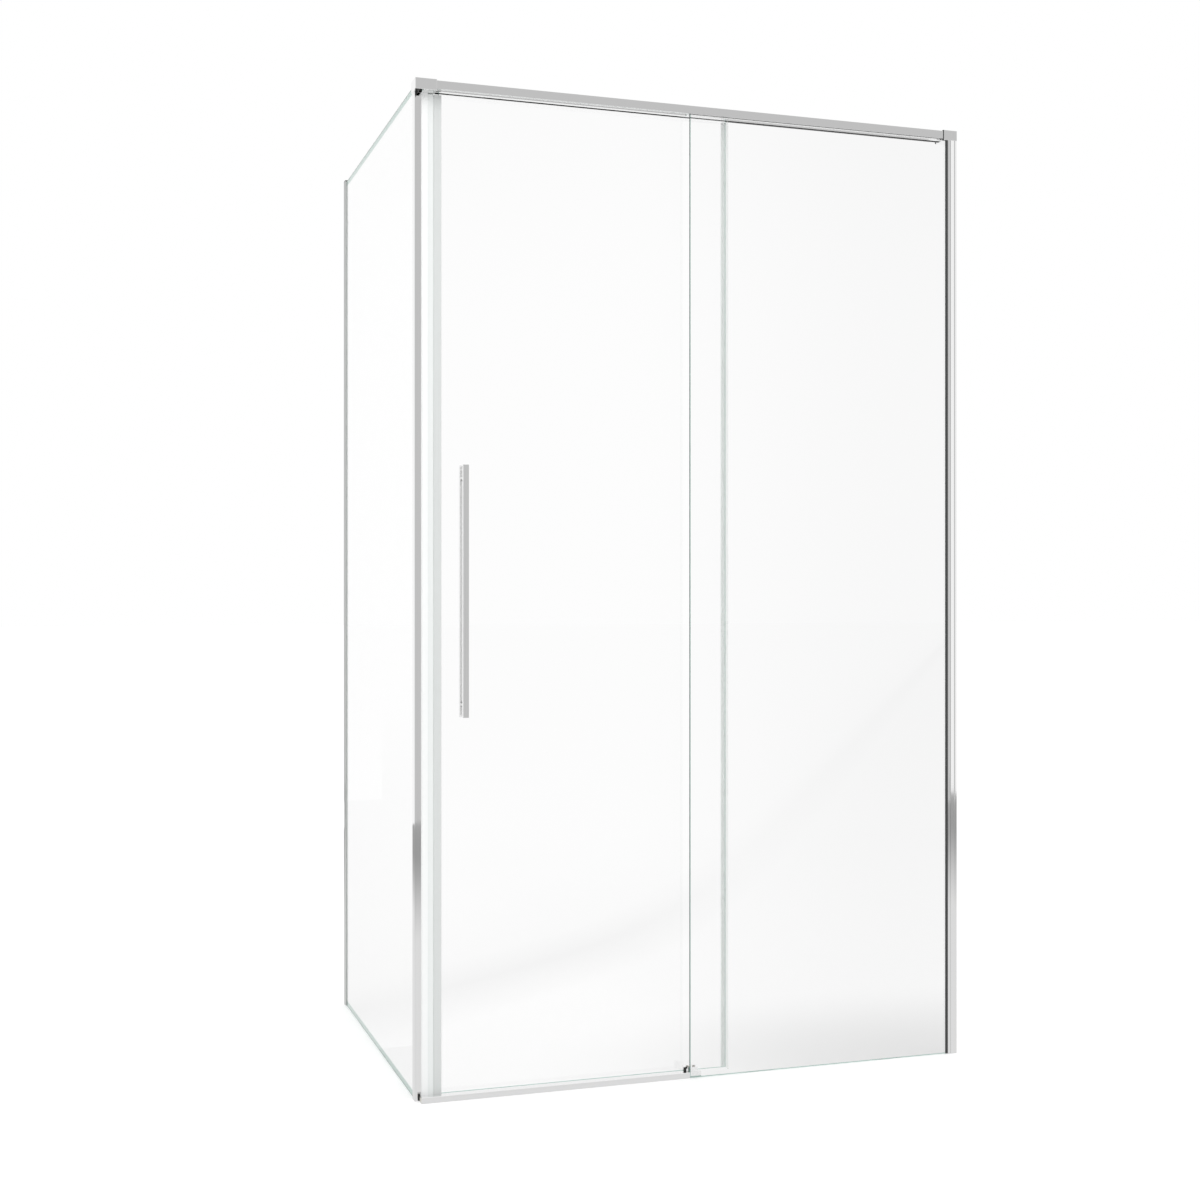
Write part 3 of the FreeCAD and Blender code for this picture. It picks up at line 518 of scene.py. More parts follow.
def work_on(piece: Object) -> None:
    """Deselects everything else and makes the piece the one that operators act on.

    Args:
        piece: the object.
    """
    bpy.ops.object.select_all(action="DESELECT")
    piece.select_set(True)
    bpy.context.view_layer.objects.active = piece


def put_in_mesh() -> None:
    """Puts the selected object's place, turn and size into its mesh."""
    bpy.ops.object.transform_apply(location=True, rotation=True, scale=True)


def leave_edit() -> None:
    """Goes back to object mode."""
    bpy.ops.object.mode_set(mode="OBJECT")


def drop_picks(piece: Object, mode: str) -> None:
    """Deselects all of a piece's mesh.

    Args:
        piece: the mesh object.
        mode: the kind of element that is selected next.
    """
    work_on(piece)
    bpy.ops.object.mode_set(mode="EDIT")
    bpy.ops.mesh.select_mode(type=mode)
    bpy.ops.mesh.select_all(action="DESELECT")
    leave_edit()


def pick_faces(piece: Object, wanted: Callable[[MeshPolygon], bool]) -> None:
    """Selects faces by their place and normal, and opens edit mode.

    Args:
        piece: the mesh object.
        wanted: tells from a face whether it is picked.
    """
    drop_picks(piece, "FACE")
    for face in piece.data.polygons:
        face.select = wanted(face)
    bpy.ops.object.mode_set(mode="EDIT")


def pick_edges(piece: Object, wanted: Callable[[Vector, Vector], bool]) -> None:
    """Selects edges by the places of their two ends, and opens edit mode.

    Args:
        piece: the mesh object.
        wanted: tells from an edge's two end points whether it is picked.
    """
    drop_picks(piece, "EDGE")
    corners = piece.data.vertices
    for edge in piece.data.edges:
        edge.select = wanted(*(corners[number].co for number in edge.vertices))
    bpy.ops.object.mode_set(mode="EDIT")


def merge_doubles(piece: Object) -> None:
    """Opens a piece in edit mode, all of it selected, and merges its doubled corners.

    Args:
        piece: the mesh object.
    """
    work_on(piece)
    bpy.ops.object.mode_set(mode="EDIT")
    bpy.ops.mesh.select_all(action="SELECT")
    bpy.ops.mesh.remove_doubles(threshold=MERGE_DISTANCE)


def settle(piece: Object) -> Object:
    """Puts the piece's place into its mesh, merges doubles and turns all faces outwards.

    Large faces lead the shading, so that flats stay flat beside narrow roundings.

    Args:
        piece: the finished mesh object.

    Returns:
        The same object.
    """
    work_on(piece)
    put_in_mesh()
    merge_doubles(piece)
    bpy.ops.mesh.normals_make_consistent(inside=False)
    leave_edit()
    bpy.ops.object.shade_smooth_by_angle(angle=SMOOTH_ANGLE)
    shading = piece.modifiers.new("flat_faces", "WEIGHTED_NORMAL")
    shading.keep_sharp = True
    bpy.ops.object.modifier_apply(modifier=shading.name)
    return piece


def add_block(name: str, low: Vector, high: Vector) -> Object:
    """Adds a box between two corners, with its size in its mesh.

    Args:
        name: the new object's name.
        low: its lowest corner.
        high: its highest corner.

    Returns:
        The new object.
    """
    bpy.ops.object.select_all(action="DESELECT")
    bpy.ops.mesh.primitive_cube_add(size=1, location=(low + high) / 2, scale=high - low)
    block = bpy.context.active_object
    block.name = name
    put_in_mesh()
    return block


def add_cylinder(name: str, sides: int, radius: float, length: float, middle: float = 0.0,
                 lying: bool = False) -> Object:
    """Adds an upright cylinder on the Z axis, or one that lies along Y.

    Args:
        name: the new object's name.
        sides: how many sides it has.
        radius: its radius.
        length: its length.
        middle: the height of its middle.
        lying: whether it lies.

    Returns:
        The new object, with its size in its mesh.
    """
    bpy.ops.object.select_all(action="DESELECT")
    bpy.ops.mesh.primitive_cylinder_add(
        vertices=sides, radius=radius, depth=length, location=(0, 0, middle),
        rotation=(math.pi / 2 if lying else 0, 0, 0))
    cylinder = bpy.context.active_object
    cylinder.name = name
    put_in_mesh()
    return cylinder


def cut_across(piece: Object, along: Direction, place: float) -> None:
    """Cuts new edges across a piece.

    Args:
        piece: the mesh object.
        along: the direction of its length.
        place: where along it the edges lie.
    """
    pick_faces(piece, lambda face: True)
    bpy.ops.mesh.bisect(plane_co=place * Vector(along.value), plane_no=along.value)
    leave_edit()


def sink_groove(piece: Object, along: Direction, start: float, stop: float, depth: float) -> None:
    """Sinks a groove round a piece, between two places along it.

    Args:
        piece: the mesh object, with edges cut across it at both places.
        along: the direction of its length.
        start: where the groove starts.
        stop: where it stops.
        depth: its depth.
    """
    axis = along.value.index(1.0)
    pick_faces(piece, lambda face: start < face.center[axis] < stop
               and abs(face.normal[axis]) < FACES_ACROSS)
    bpy.ops.mesh.extrude_region_shrink_fatten(TRANSFORM_OT_shrink_fatten={"value": -depth})
    leave_edit()


def copy_to(piece: Object, places: list[Vector], name: str) -> Object:
    """Puts a copy of a piece, with its own mesh, on every place and joins the copies.

    Args:
        piece: the piece at the origin, which is removed afterwards.
        places: where the copies go.
        name: the joined object's name.

    Returns:
        The joined object.
    """
    copies = []
    for place in places:
        twin = piece.copy()
        twin.data = piece.data.copy()
        bpy.context.scene.collection.objects.link(twin)
        twin.location = place
        work_on(twin)
        put_in_mesh()
        copies.append(twin)
    bpy.data.objects.remove(piece)
    work_on(copies[0])
    for twin in copies[1:]:
        twin.select_set(True)
    if len(copies) > 1:
        bpy.ops.object.join()
    copies[0].name = name
    return copies[0]


def soften(node: str, name: str, width: float) -> Object:
    """Copies a node of the frame and rounds the copy's sharp edges, as moulds and polish do.

    Args:
        node: the frame's node.
        name: the copy's name.
        width: the width of the rounding.

    Returns:
        The rounded copy.
    """
    piece = bpy.data.objects.new(name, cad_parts[node].data.copy())
    bpy.context.scene.collection.objects.link(piece)
    merge_doubles(piece)
    bpy.ops.mesh.dissolve_limited(angle_limit=FLAT_ANGLE)
    leave_edit()
    rounding = piece.modifiers.new("rounding", "BEVEL")
    rounding.width = width
    rounding.segments = EDGE_STEPS
    rounding.limit_method = "ANGLE"
    rounding.angle_limit = SMOOTH_ANGLE
    bpy.ops.object.modifier_apply(modifier=rounding.name)
    return settle(piece)


@dataclass(frozen=True)
class SocketScrew:
    """A low-headed screw with a hexagon socket."""

    head_radius: float
    head_height: float
    shank_radius: float
    shank_length: float
    socket_radius: float
    socket_depth: float
    rim: float = 0.25 * MM
    sides: int = 32

    def model(self) -> Object:
        """Models the screw upright, with the head's seat at the origin.

        Returns:
            The screw.
        """
        screw = add_cylinder("screw", self.sides, self.head_radius, self.head_height,
                             self.head_height / 2)
        self._round_rim(screw)
        self._draw_shank(screw)
        self._cut_socket(screw)
        return screw

    def _round_rim(self, screw: Object) -> None:
        """Rounds the head's upper rim.

        Args:
            screw: the screw so far.
        """
        top = self.head_height - MERGE_DISTANCE
        pick_edges(screw, lambda first, second: min(first.z, second.z) > top)
        bpy.ops.mesh.bevel(offset=self.rim, segments=RIM_STEPS, affect="EDGES")
        leave_edit()

    def _draw_shank(self, screw: Object) -> None:
        """Insets the underside to the shank's radius and extrudes the shank from it.

        Args:
            screw: the screw so far.
        """
        pick_faces(screw, lambda face: face.normal.z < -FACES_ALONG)
        if self.head_radius > self.shank_radius:
            bpy.ops.mesh.inset(thickness=self.head_radius - self.shank_radius)
        bpy.ops.mesh.extrude_region_move(
            TRANSFORM_OT_translate={"value": (0, 0, -self.shank_length)})
        bpy.ops.mesh.bevel(offset=self.rim, segments=EDGE_STEPS, affect="EDGES")
        leave_edit()

    def _cut_socket(self, screw: Object) -> None:
        """Sinks the hexagon socket into the head.

        Args:
            screw: the screw so far.
        """
        key = add_cylinder("hexagon_key", HEXAGON, self.socket_radius, 2 * self.socket_depth,
                           self.head_height)
        work_on(screw)
        cut = screw.modifiers.new("socket", "BOOLEAN")
        cut.operation = "DIFFERENCE"
        cut.object = key
        bpy.ops.object.modifier_apply(modifier=cut.name)
        bpy.data.objects.remove(key)

    def place(self, name: str, seats: list[Vector], outward: Direction) -> Object:
        """Models one screw and puts a copy of it on every seat.

        Args:
            name: the group's name.
            seats: the places of the heads' undersides.
            outward: the direction in which the heads point.

        Returns:
            The screws as one object.
        """
        screw = self.model()
        screw.rotation_mode = "QUATERNION"
        screw.rotation_quaternion = Vector(Direction.Z.value).rotation_difference(
            Vector(outward.value))
        return copy_to(settle(screw), seats, name)


# ---------------------------------------------------------------------------------------------
# Sub-assemblies
# ---------------------------------------------------------------------------------------------

class Body(Enum):
    """A body of the construction that new pieces ride on."""

    ENCLOSURE = "enclosure"
    DOOR = "door"


class Slot(Enum):
    """A material slot of the record, named with each new piece."""

    BRIGHT_CAP = "bright_cap"
    BLACK_MOULDING = "black_moulding"
    SCREW_STEEL = "screw_steel"
    WHEEL_MOULDING = "wheel_moulding"
    CARRIAGE_METAL = "carriage_metal"
    HANDLE_METAL = "handle_metal"


@dataclass
class SubAssembly:
    """What all sub-assemblies share: dressing the frame's nodes and fitting new pieces."""

    body: Body = Body.ENCLOSURE
    pieces: list[str] = field(default_factory=list)

    def dress(self, finish: Finish, *nodes: str) -> None:
        """Gives nodes of the frame a finish."""
        for name in nodes:
            self.wear(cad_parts[name], finish)

    def wear(self, piece: Object, finish: Finish) -> None:
        """Puts a finish on one object and notes the object.

        Args:
            piece: the mesh object.
            finish: the finish.
        """
        piece.data.materials.clear()
        piece.data.materials.append(finish.material())
        self.pieces.append(piece.name)

    def fit(self, piece: Object, finish: Finish, slot: Slot, *nodes: str) -> None:
        """Dresses a new piece and lets it stand for nodes of the frame.

        Args:
            piece: the new object, in place.
            finish: its finish.
            slot: the record's material slot; not used.
            nodes: the nodes that it stands for.
        """
        self.wear(piece, finish)
        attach(piece, self.body.value)
        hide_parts(*nodes)

    def round_off(self, finish: Finish, slot: Slot, width: float, *nodes: str) -> None:
        """Puts copies with rounded edges, in one finish, in the place of nodes."""
        for node in nodes:
            self.fit(soften(node, f"rounded_{node}", width), finish, slot, node)

    def fit_screws(self, screw: SocketScrew, name: str, node: str, outward: Direction,
                   sides: tuple[int, ...] = (-1, 1)) -> None:
        """Models the screws that stand in the box of one node, in a row along X.

        Args:
            screw: the kind of screw.
            name: the group's name.
            node: the frame's screws, which give the places.
            outward: the direction in which the heads point.
            sides: -1 for a screw at the box's left end, 0 in its middle and 1 at its right end.
        """
        low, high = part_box(node)
        axis = outward.value.index(1.0)
        seats = []
        for side in sides:
            seat = (low + high) / 2
            seat.x += side * ((high.x - low.x) / 2 - screw.head_radius)
            seat[axis] = high[axis] - screw.head_height
            seats.append(seat)
        self.fit(screw.place(name, seats, outward), TurnedSteel(), Slot.SCREW_STEEL, node)

    def build(self) -> None:
        """Builds and dresses the sub-assembly."""
        raise NotImplementedError

    def report(self) -> None:
        """Logs each of the sub-assembly's pieces."""
        for name in self.pieces:
            log.info("%s: %s", type(self).__name__, name)


@dataclass
class TopRail(SubAssembly):
    """The rail over the front, its caps and what is fixed inside it."""

    screw: SocketScrew = SocketScrew(
        head_radius=3.0 * MM, head_height=0.9 * MM, shank_radius=1.5 * MM,
        shank_length=3.0 * MM, socket_radius=1.3 * MM, socket_depth=0.6 * MM)
    grub: SocketScrew = SocketScrew(
        head_radius=1.5 * MM, head_height=0.8 * MM, shank_radius=1.5 * MM,
        shank_length=7.2 * MM, socket_radius=0.85 * MM, socket_depth=0.7 * MM, rim=0.15 * MM)

    def build(self) -> None:
        """Dresses rail, caps, stops and seals, and models the screws of cap and post head."""
        self.dress(BrightAluminium(along=Direction.X), "top_rail")
        self.round_off(ChromedCasting(), Slot.BRIGHT_CAP, SLIGHT_EDGE, "corner_cap", "end_cap")
        self.dress(ClearVinyl(along=Direction.X), "rail_gasket", "rail_infill")
        self.round_off(BLACK_NYLON, Slot.BLACK_MOULDING, FULL_EDGE,
                       "rail_stop_left", "rail_stop_right")
        self.dress(DARK_GASKET, "end_cap_gasket")
        self.fit_screws(self.screw, "socket_cap_screws", "cap_screws", Direction.Y)
        self.fit_screws(self.grub, "socket_grub_screw", "post_head_screw", Direction.Z, (0,))


@dataclass
class CornerPost(SubAssembly):
    """The post at the corner, with the strike that the door closes against."""

    def build(self) -> None:
        """Dresses the post, its head and the strike."""
        self.dress(BrightAluminium(), "corner_post")
        # The strike profile is painted lighter than the clear vinyl, as painted light.
        self.dress(PAINTED_LIGHT_VINYL, "strike_profile")
        self.dress(ClearVinyl(), "post_gasket", "strike_magnet_strip")
        # The post head is painted dark grey, as painted light.
        self.round_off(PAINTED_GREY_NYLON, Slot.BLACK_MOULDING, SLIGHT_EDGE, "post_head")
        self.dress(MAGNET_RUBBER, "strike_magnet")


@dataclass
class WallProfiles(SubAssembly):
    """The two wall profiles: channels, glazing channels, gaskets, screws and covers."""

    def build(self) -> None:
        """Dresses the profiles with their screws and covers."""
        self.dress(BrightAluminium(), "front_wall_channel", "front_glazing_channel",
                   "side_wall_channel", "side_glazing_channel")
        self.dress(DARK_GASKET, "front_glazing_gasket")
        # The side gasket is painted grey for the reflection and shade of its channel.
        self.dress(SHADED_CHANNEL_VINYL, "side_glazing_gasket")
        self.round_off(BLACK_NYLON, Slot.BLACK_MOULDING, SOFT_EDGE, "side_top_cover")
        self.round_off(ChromedCasting(), Slot.BRIGHT_CAP, SLIGHT_EDGE, "screw_covers")
        self.dress(TurnedSteel(), "profile_screws")


@dataclass
class FixedPanes(SubAssembly):
    """The side pane and the fixed front pane on their setting pads."""

    rim: float = 12 * MM               # how far the painted reflection of a ground edge reaches into the slanted pane's face

    def build(self) -> None:
        """Dresses both panes and their pads."""
        self.dress(FloatGlass(Direction.Y), "fixed_glass")
        # The side pane's face gets a painted reflection of its ground edge near its top and bottom.
        low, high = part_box("side_glass")
        self.dress(FloatGlass(Direction.X, low.z + self.rim, high.z - self.rim), "side_glass")
        self.dress(ClearVinyl(along=Direction.X), "setting_pads")


@dataclass
class FloorLine(SubAssembly):
    """The threshold with its plugs, and the guide that keeps the door's foot in line."""

    screw: SocketScrew = SocketScrew(
        head_radius=3.4 * MM, head_height=1.6 * MM, shank_radius=1.9 * MM,
        shank_length=10.9 * MM, socket_radius=1.6 * MM, socket_depth=1.0 * MM)

    def build(self) -> None:
        """Dresses threshold and guide, and models the guide's screws."""
        self.dress(BrightAluminium(along=Direction.X), "threshold")
        self.round_off(BLACK_NYLON, Slot.BLACK_MOULDING, SLIGHT_EDGE, "threshold_buffer", "guide_body")
        self.round_off(WHITE_ACETAL, Slot.WHEEL_MOULDING, SOFT_EDGE, "threshold_plugs")
        self.round_off(ChromedCasting(), Slot.BRIGHT_CAP, SLIGHT_EDGE, "guide_cover")
        self.fit_screws(self.screw, "socket_guide_screws", "guide_screws", Direction.Z)


@dataclass
class Door(SubAssembly):
    """The sliding pane with its closing seal and its lap seal."""

    body: Body = Body.DOOR

    def build(self) -> None:
        """Dresses the pane, its seals and its magnet."""
        self.dress(FloatGlass(Direction.Y), "door_glass")
        self.dress(MILKY_VINYL, "door_magnet_seal")
        self.dress(THIN_VINYL, "door_lap_seal")
        self.dress(MAGNET_RUBBER, "door_magnet")


@dataclass
class Rollers(SubAssembly):
    """The two carriages in the rail, with four wheels on their axles."""

    body: Body = Body.DOOR
    wheels: int = 4

    def build(self) -> None:
        """Dresses carriages, axles and wheels."""
        self.round_off(DieCastZinc(), Slot.CARRIAGE_METAL, SOFT_EDGE,
                       "carriage_left", "carriage_right")
        self.dress(TurnedSteel(), "wheel_axles")
        for number in range(1, self.wheels + 1):
            self.dress(WHITE_ACETAL, f"wheel_{number}_tyre")
            self.dress(TurnedSteel(), f"wheel_{number}_bearing")


@dataclass
class Handle(SubAssembly):
    """The slim bar outside and inside, on turned spacers."""

    body: Body = Body.DOOR
    corner: float = 0.8 * MM
    corner_steps: int = 4
    plug_inset: float = 2.6 * MM       # from the bar's end to the joint of its end plug
    joint_width: float = 0.5 * MM
    joint_depth: float = 0.3 * MM
    collar_rim: float = 0.5 * MM
    collar_groove: float = 1.6 * MM
    groove_depth: float = 0.6 * MM
    sides: int = 48

    def build(self) -> None:
        """Models the bars and spacers, and dresses the studs and bushes between them."""
        for node in ("handle_outer_bar", "handle_inner_bar"):
            self.fit(self.model_bar(node), ChromedBar(), Slot.HANDLE_METAL, node)
        self.fit(self.model_spacers(), ChromedBar(), Slot.HANDLE_METAL, "handle_spacers")
        self.dress(TurnedSteel(), "handle_studs")
        self.dress(ClearVinyl(along=Direction.Y), "handle_bushes")

    def model_bar(self, node: str) -> Object:
        """Models a bar with rounded corners and the joint of the plug in each end.

        Args:
            node: the frame's bar, which gives size and place.

        Returns:
            The bar.
        """
        low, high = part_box(node)
        bar = add_block(node.replace("handle", "plugged_handle"), low, high)
        joint_end = self.plug_inset + self.joint_width
        joints = ((low.z + self.plug_inset, low.z + joint_end),
                  (high.z - joint_end, high.z - self.plug_inset))
        for place in (*joints[0], *joints[1]):
            cut_across(bar, Direction.Z, place)
        pick_edges(bar, lambda first, second: abs(first.z - second.z) > MERGE_DISTANCE
                   or min(abs(first.z - low.z), abs(first.z - high.z)) < MERGE_DISTANCE)
        bpy.ops.mesh.bevel(offset=self.corner, segments=self.corner_steps, affect="EDGES")
        leave_edit()
        for start, stop in joints:
            sink_groove(bar, Direction.Z, start, stop, self.joint_depth)
        return settle(bar)

    def model_spacers(self) -> Object:
        """Models one turned spacer and sets a copy of it on each side of both glass holes.

        Returns:
            The four spacers as one object.
        """
        low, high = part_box("handle_spacers")
        radius = (high.x - low.x) / 2
        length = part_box("door_glass")[0].y - low.y
        spacer = add_cylinder("spacer", self.sides, radius, length, lying=True)
        pick_edges(spacer, lambda first, second: abs(first.y - second.y) < MERGE_DISTANCE)
        bpy.ops.mesh.bevel(offset=self.collar_rim, segments=RIM_STEPS, affect="EDGES")
        leave_edit()
        start, stop = -self.collar_groove / 2, self.collar_groove / 2
        for place in (start, stop):
            cut_across(spacer, Direction.Y, place)
        sink_groove(spacer, Direction.Y, start, stop, self.groove_depth)
        places = [Vector(((low.x + high.x) / 2, y, z))
                  for y in (low.y + length / 2, high.y - length / 2)
                  for z in (low.z + radius, high.z - radius)]
        return copy_to(settle(spacer), places, "turned_handle_spacers")


# ---------------------------------------------------------------------------------------------
# Studio and camera
# ---------------------------------------------------------------------------------------------

@dataclass(frozen=True)
class Card:
    """A grey card that stands beside the part and shows in polished surfaces only."""

    name: str
    colour: str                        # in metal
    glass_colour: str                  # in the panes
    start: tuple[float, float]         # the place on the floor of its left or front end
    end: tuple[float, float]
    height: float = 8.0
    margin: float = 5 * MM             # half its thickness

    def stand(self) -> None:
        """Stands the card in its place."""
        around = Vector((self.margin, self.margin, 0))
        card = add_block(self.name, Vector((*self.start, 0)) - around,
                         Vector((*self.end, self.height)) + around)
        for rays in ("camera", "diffuse", "transmission", "volume_scatter", "shadow"):
            setattr(card, f"visible_{rays}", False)
        card.data.materials.append(make_material(self.name, self.shade))

    def shade(self, nodes: Shading) -> Node:
        """Gives metal and panes a tone each: only a pane's reflection is perfectly sharp.

        Args:
            nodes: the card's nodes.

        Returns:
            The card's shader.
        """
        return nodes.add("Emission", {"Color": nodes.add("Mix", {
            0: nodes.add("LightPath").outputs["Is Singular Ray"],
            6: linear(self.colour), 7: linear(self.glass_colour)}, data_type="RGBA")})


@dataclass(frozen=True)
class Lamp:
    """A soft square lamp that looks at the middle of the part."""

    name: str
    place: tuple[float, float, float]
    side: float
    power: float                       # in watts
    target: tuple[float, float, float] = (0.0, 0.0, 1.0)

    def hang(self) -> None:
        """Hangs the lamp in its place, out of sight."""
        lamp = bpy.data.lights.new(self.name, "AREA")
        lamp.size = self.side
        lamp.energy = self.power
        holder = bpy.data.objects.new(self.name, lamp)
        bpy.context.scene.collection.objects.link(holder)
        holder.location = self.place
        ahead = Vector(self.target) - Vector(self.place)
        holder.rotation_euler = ahead.to_track_quat("-Z", "Y").to_euler()
        for rays in ("camera", "glossy", "transmission"):
            setattr(holder, f"visible_{rays}", False)


@dataclass(frozen=True)
class PaintedShadowLine:
    """A soft line of painted shadow on the floor, seen through the panes; it stands for the shade
    where a floor turns up, and this floor is flat.
    """

    bend_at: float = 0.4               # the line bends at this X
    bend_size: float = 0.25            # the square of the bend's half length
    slope: float = 1.1                 # how far back it runs for each metre to the right
    turn: float = 0.55                 # how much more beyond the bend, and less before it
    set_back: float = 0.383
    lead: float = 0.5                  # its tones start this far before it
    reach: float = 3.0                 # and end this far from their start
    tones: Tones = Tones(((0.06, "#000000"), (0.165, "#FFFFFF"), (0.25, "#A0A0A0"),
                          (0.5, "#595959"), (1.0, "#000000")))
    strength: Fade = Fade(0.1, 1.2, 0.085, 0.03)    # by X
    shade_before: Fade = Fade(-0.3, 0.1, 0.02, 0.0)     # by the distance behind the line
    shade_right: Fade = Fade(-0.1, 0.3, 0.0, 1.0)   # that shade lies at the right only

    def darken(self, nodes: Shading, place: NodeOutputs) -> list[Node]:
        """Adds the painted shadow line and the faint painted shade before it.

        Args:
            nodes: the floor's nodes.
            place: the outputs of the place on the floor.

        Returns:
            What the painted shadow line and shade take off the floor's tone.
        """
        sums = partial(nodes.add, "Math")
        bend = sums((place["X"], self.bend_at), operation="SUBTRACT")
        curve = sums((sums((bend, bend, self.bend_size), operation="MULTIPLY_ADD"),),
                     operation="SQRT")
        line = sums((place["X"], self.slope, sums((curve, self.turn), operation="MULTIPLY")),
                    operation="MULTIPLY_ADD")
        beyond = sums((sums((place["Y"], line), operation="SUBTRACT"), self.set_back),
                      operation="SUBTRACT")
        along = sums((sums((beyond, self.lead), operation="ADD"), self.reach), operation="DIVIDE")
        return [
            sums((self.tones.over(nodes, along), self.strength.over(nodes, place["X"])),
                 operation="MULTIPLY"),
            sums((self.shade_before.over(nodes, beyond), self.shade_right.over(nodes, place["X"])),
                 operation="MULTIPLY")]


@dataclass
class Studio:
    """A pale floor, a white surround, soft lamps and grey cards for the polished metal."""

    white: str = "#FFFFFF"
    floor_half: float = 60.0
    floor_drop: float = 0.2 * MM
    floor_colour: str = "#E7E7E7"
    floor_lift: float = 0.30           # light of its own that takes the lit floor to white
    floor_behind: str = "#606060"      # its paint through glass, where its own light leads
    floor_behind_lit: float = 0.121    # what that paint gives back of the light on it
    surround_light: float = 0.96       # what a matt surface gets from all round
    front_grey: str = "#CBCBCB"        # what polished fronts reflect
    side_grey: str = "#E9E9E9"         # what polished sides reflect
    card_distance: float = 4.5
    card_half: float = 3.3             # white shows between the cards at the corners
    back_card_left: float = -1.45      # the wall profile mirrors it, the post does not
    metal_tones: Tones = Tones((       # the floor in metal, by its distance; 1 is at the cards
        (0.43, "#E7E7E7"), (0.578, "#C9C9C9"), (0.66, "#B5B5B5"), (0.76, "#A3A3A3"),
        (0.98, "#A8A8A8"), (1.0, "#FFFFFF")))
    sooner_behind: float = 1.25        # those tones lie this much nearer behind the part
    glass_before: Fade = Fade(-3.5, -0.5, 0.6, 0.8)     # the floor in the panes, by Y
    glass_behind: Fade = Fade(1.0, 14.0, 0.92, 1.0)
    line: PaintedShadowLine = PaintedShadowLine()
    patch_at: tuple[float, float] = (0.56, -0.4)    # painted shade: a dark patch on the floor behind the panes' right foot
    patch_squash: float = 1.6          # how much shorter it is in depth
    patch: Fade = Fade(0.0, 1.0, 0.15, 0.0)     # by the distance from its middle
    seen_from: tuple[float, float] = (-1.26, -3.6)
    to_the_right: Fade = Fade(0.33, 0.56, 1.0, 0.955)   # painted shade, darker to the right: by the run to the right for a metre ahead
    least_ahead: float = 0.01          # keeps that run finite
    bright_level: float = 0.07         # painted light: the surround behind the panes is brightest this far above level
    off_level: Fade = Fade(0.08, 0.3, 0.0, 0.025)   # the painted light that it loses above and below
    lamps: tuple[Lamp, ...] = (Lamp("key", (-3.2, -3.6, 4.2), 3.0, 68.0),
                               Lamp("fill", (3.4, -3.8, 2.6), 2.5, 30.0))

    def build(self) -> None:
        """Sets up the floor, the cards, the surround and the lamps."""
        self.add_floor()
        far, half = self.card_distance, self.card_half
        for card in (
                Card("front_card", self.front_grey, self.front_grey, (-half, -far), (half, -far)),
                Card("back_card", self.front_grey, self.white, (self.back_card_left, far),
                     (half, far)),
                Card("left_card", self.side_grey, self.side_grey, (-far, -half), (-far, half)),
                Card("right_card", self.side_grey, self.side_grey, (far, -half), (far, half))):
            card.stand()
        self.set_surround()
        for lamp in self.lamps:
            lamp.hang()

    def add_floor(self) -> None:
        """Adds the floor, which keeps the shadows and is otherwise white."""
        bpy.ops.object.select_all(action="DESELECT")
        bpy.ops.mesh.primitive_plane_add(size=2 * self.floor_half)
        floor = bpy.context.active_object
        floor.name = "studio_floor"
        floor.location.z = -self.floor_drop
        floor.data.materials.append(make_material("pale_studio_floor", self.shade_floor))

    def shade_floor(self, nodes: Shading) -> Node:
        """Gives the floor a tone for the eye, one through the panes and one for reflections.

        Args:
            nodes: the floor's nodes.

        Returns:
            The floor's shader.
        """
        sums = partial(nodes.add, "Math")
        path = nodes.add("LightPath").outputs
        through = path["Is Transmission Ray"]
        place = nodes.add("SeparateXYZ", (nodes.add("TexCoord").outputs["Object"],)).outputs
        paint = nodes.add("BsdfDiffuse", {"Color": nodes.add("Mix", {
            0: through, 6: linear(self.floor_colour), 7: linear(self.floor_behind)},
            data_type="RGBA")})
        seen = sums((path["Is Camera Ray"], self.floor_lift), operation="MULTIPLY")
        behind = sums((through, self.behind_panes(nodes, place)), operation="MULTIPLY")
        glow = nodes.add("Emission", {"Strength": sums((seen, behind), operation="ADD")})
        mirrored = nodes.add("Emission", {"Color": nodes.add("Mix", {
            0: path["Is Singular Ray"], 6: self.in_metal(nodes, place),
            7: self.in_glass(nodes, place)}, data_type="RGBA")})
        # A ray that came through a pane counts as mirrored too, so it is taken out.
        mirror_only = sums((path["Is Glossy Ray"], sums((1.0, through), operation="SUBTRACT")),
                           operation="MULTIPLY")
        return nodes.add("MixShader", (
            mirror_only, nodes.add("AddShader", (paint, glow)), mirrored))

    def in_glass(self, nodes: Shading, place: NodeOutputs) -> Node:
        """Grades the floor that the panes mirror, so that it runs into what stands behind it.

        Args:
            nodes: the floor's nodes.
            place: the outputs of the place on the floor.

        Returns:
            The node of the grey tone.
        """
        is_behind = nodes.add("Math", (place["Y"], 0.0), operation="GREATER_THAN")
        return nodes.add("Mix", {0: is_behind, 2: self.glass_before.over(nodes, place["Y"]),
                                 3: self.glass_behind.over(nodes, place["Y"])})

    def in_metal(self, nodes: Shading, place: NodeOutputs) -> Node:
        """Grades the floor that metal mirrors: pale near the part, dark before the cards.

        Beyond the cards it is white, and behind the part the dark ends sooner than before it.

        Args:
            nodes: the floor's nodes.
            place: the outputs of the place on the floor.

        Returns:
            The node of the colour.
        """
        sums = partial(nodes.add, "Math")
        ahead = sums((sums((place["Y"], self.sooner_behind), operation="MULTIPLY"),
                      sums((place["Y"], -1.0), operation="MULTIPLY")), operation="MAXIMUM")
        away = sums((sums((place["X"],), operation="ABSOLUTE"), ahead), operation="MAXIMUM")
        return self.metal_tones.over(nodes, sums((away, self.card_distance), operation="DIVIDE"))

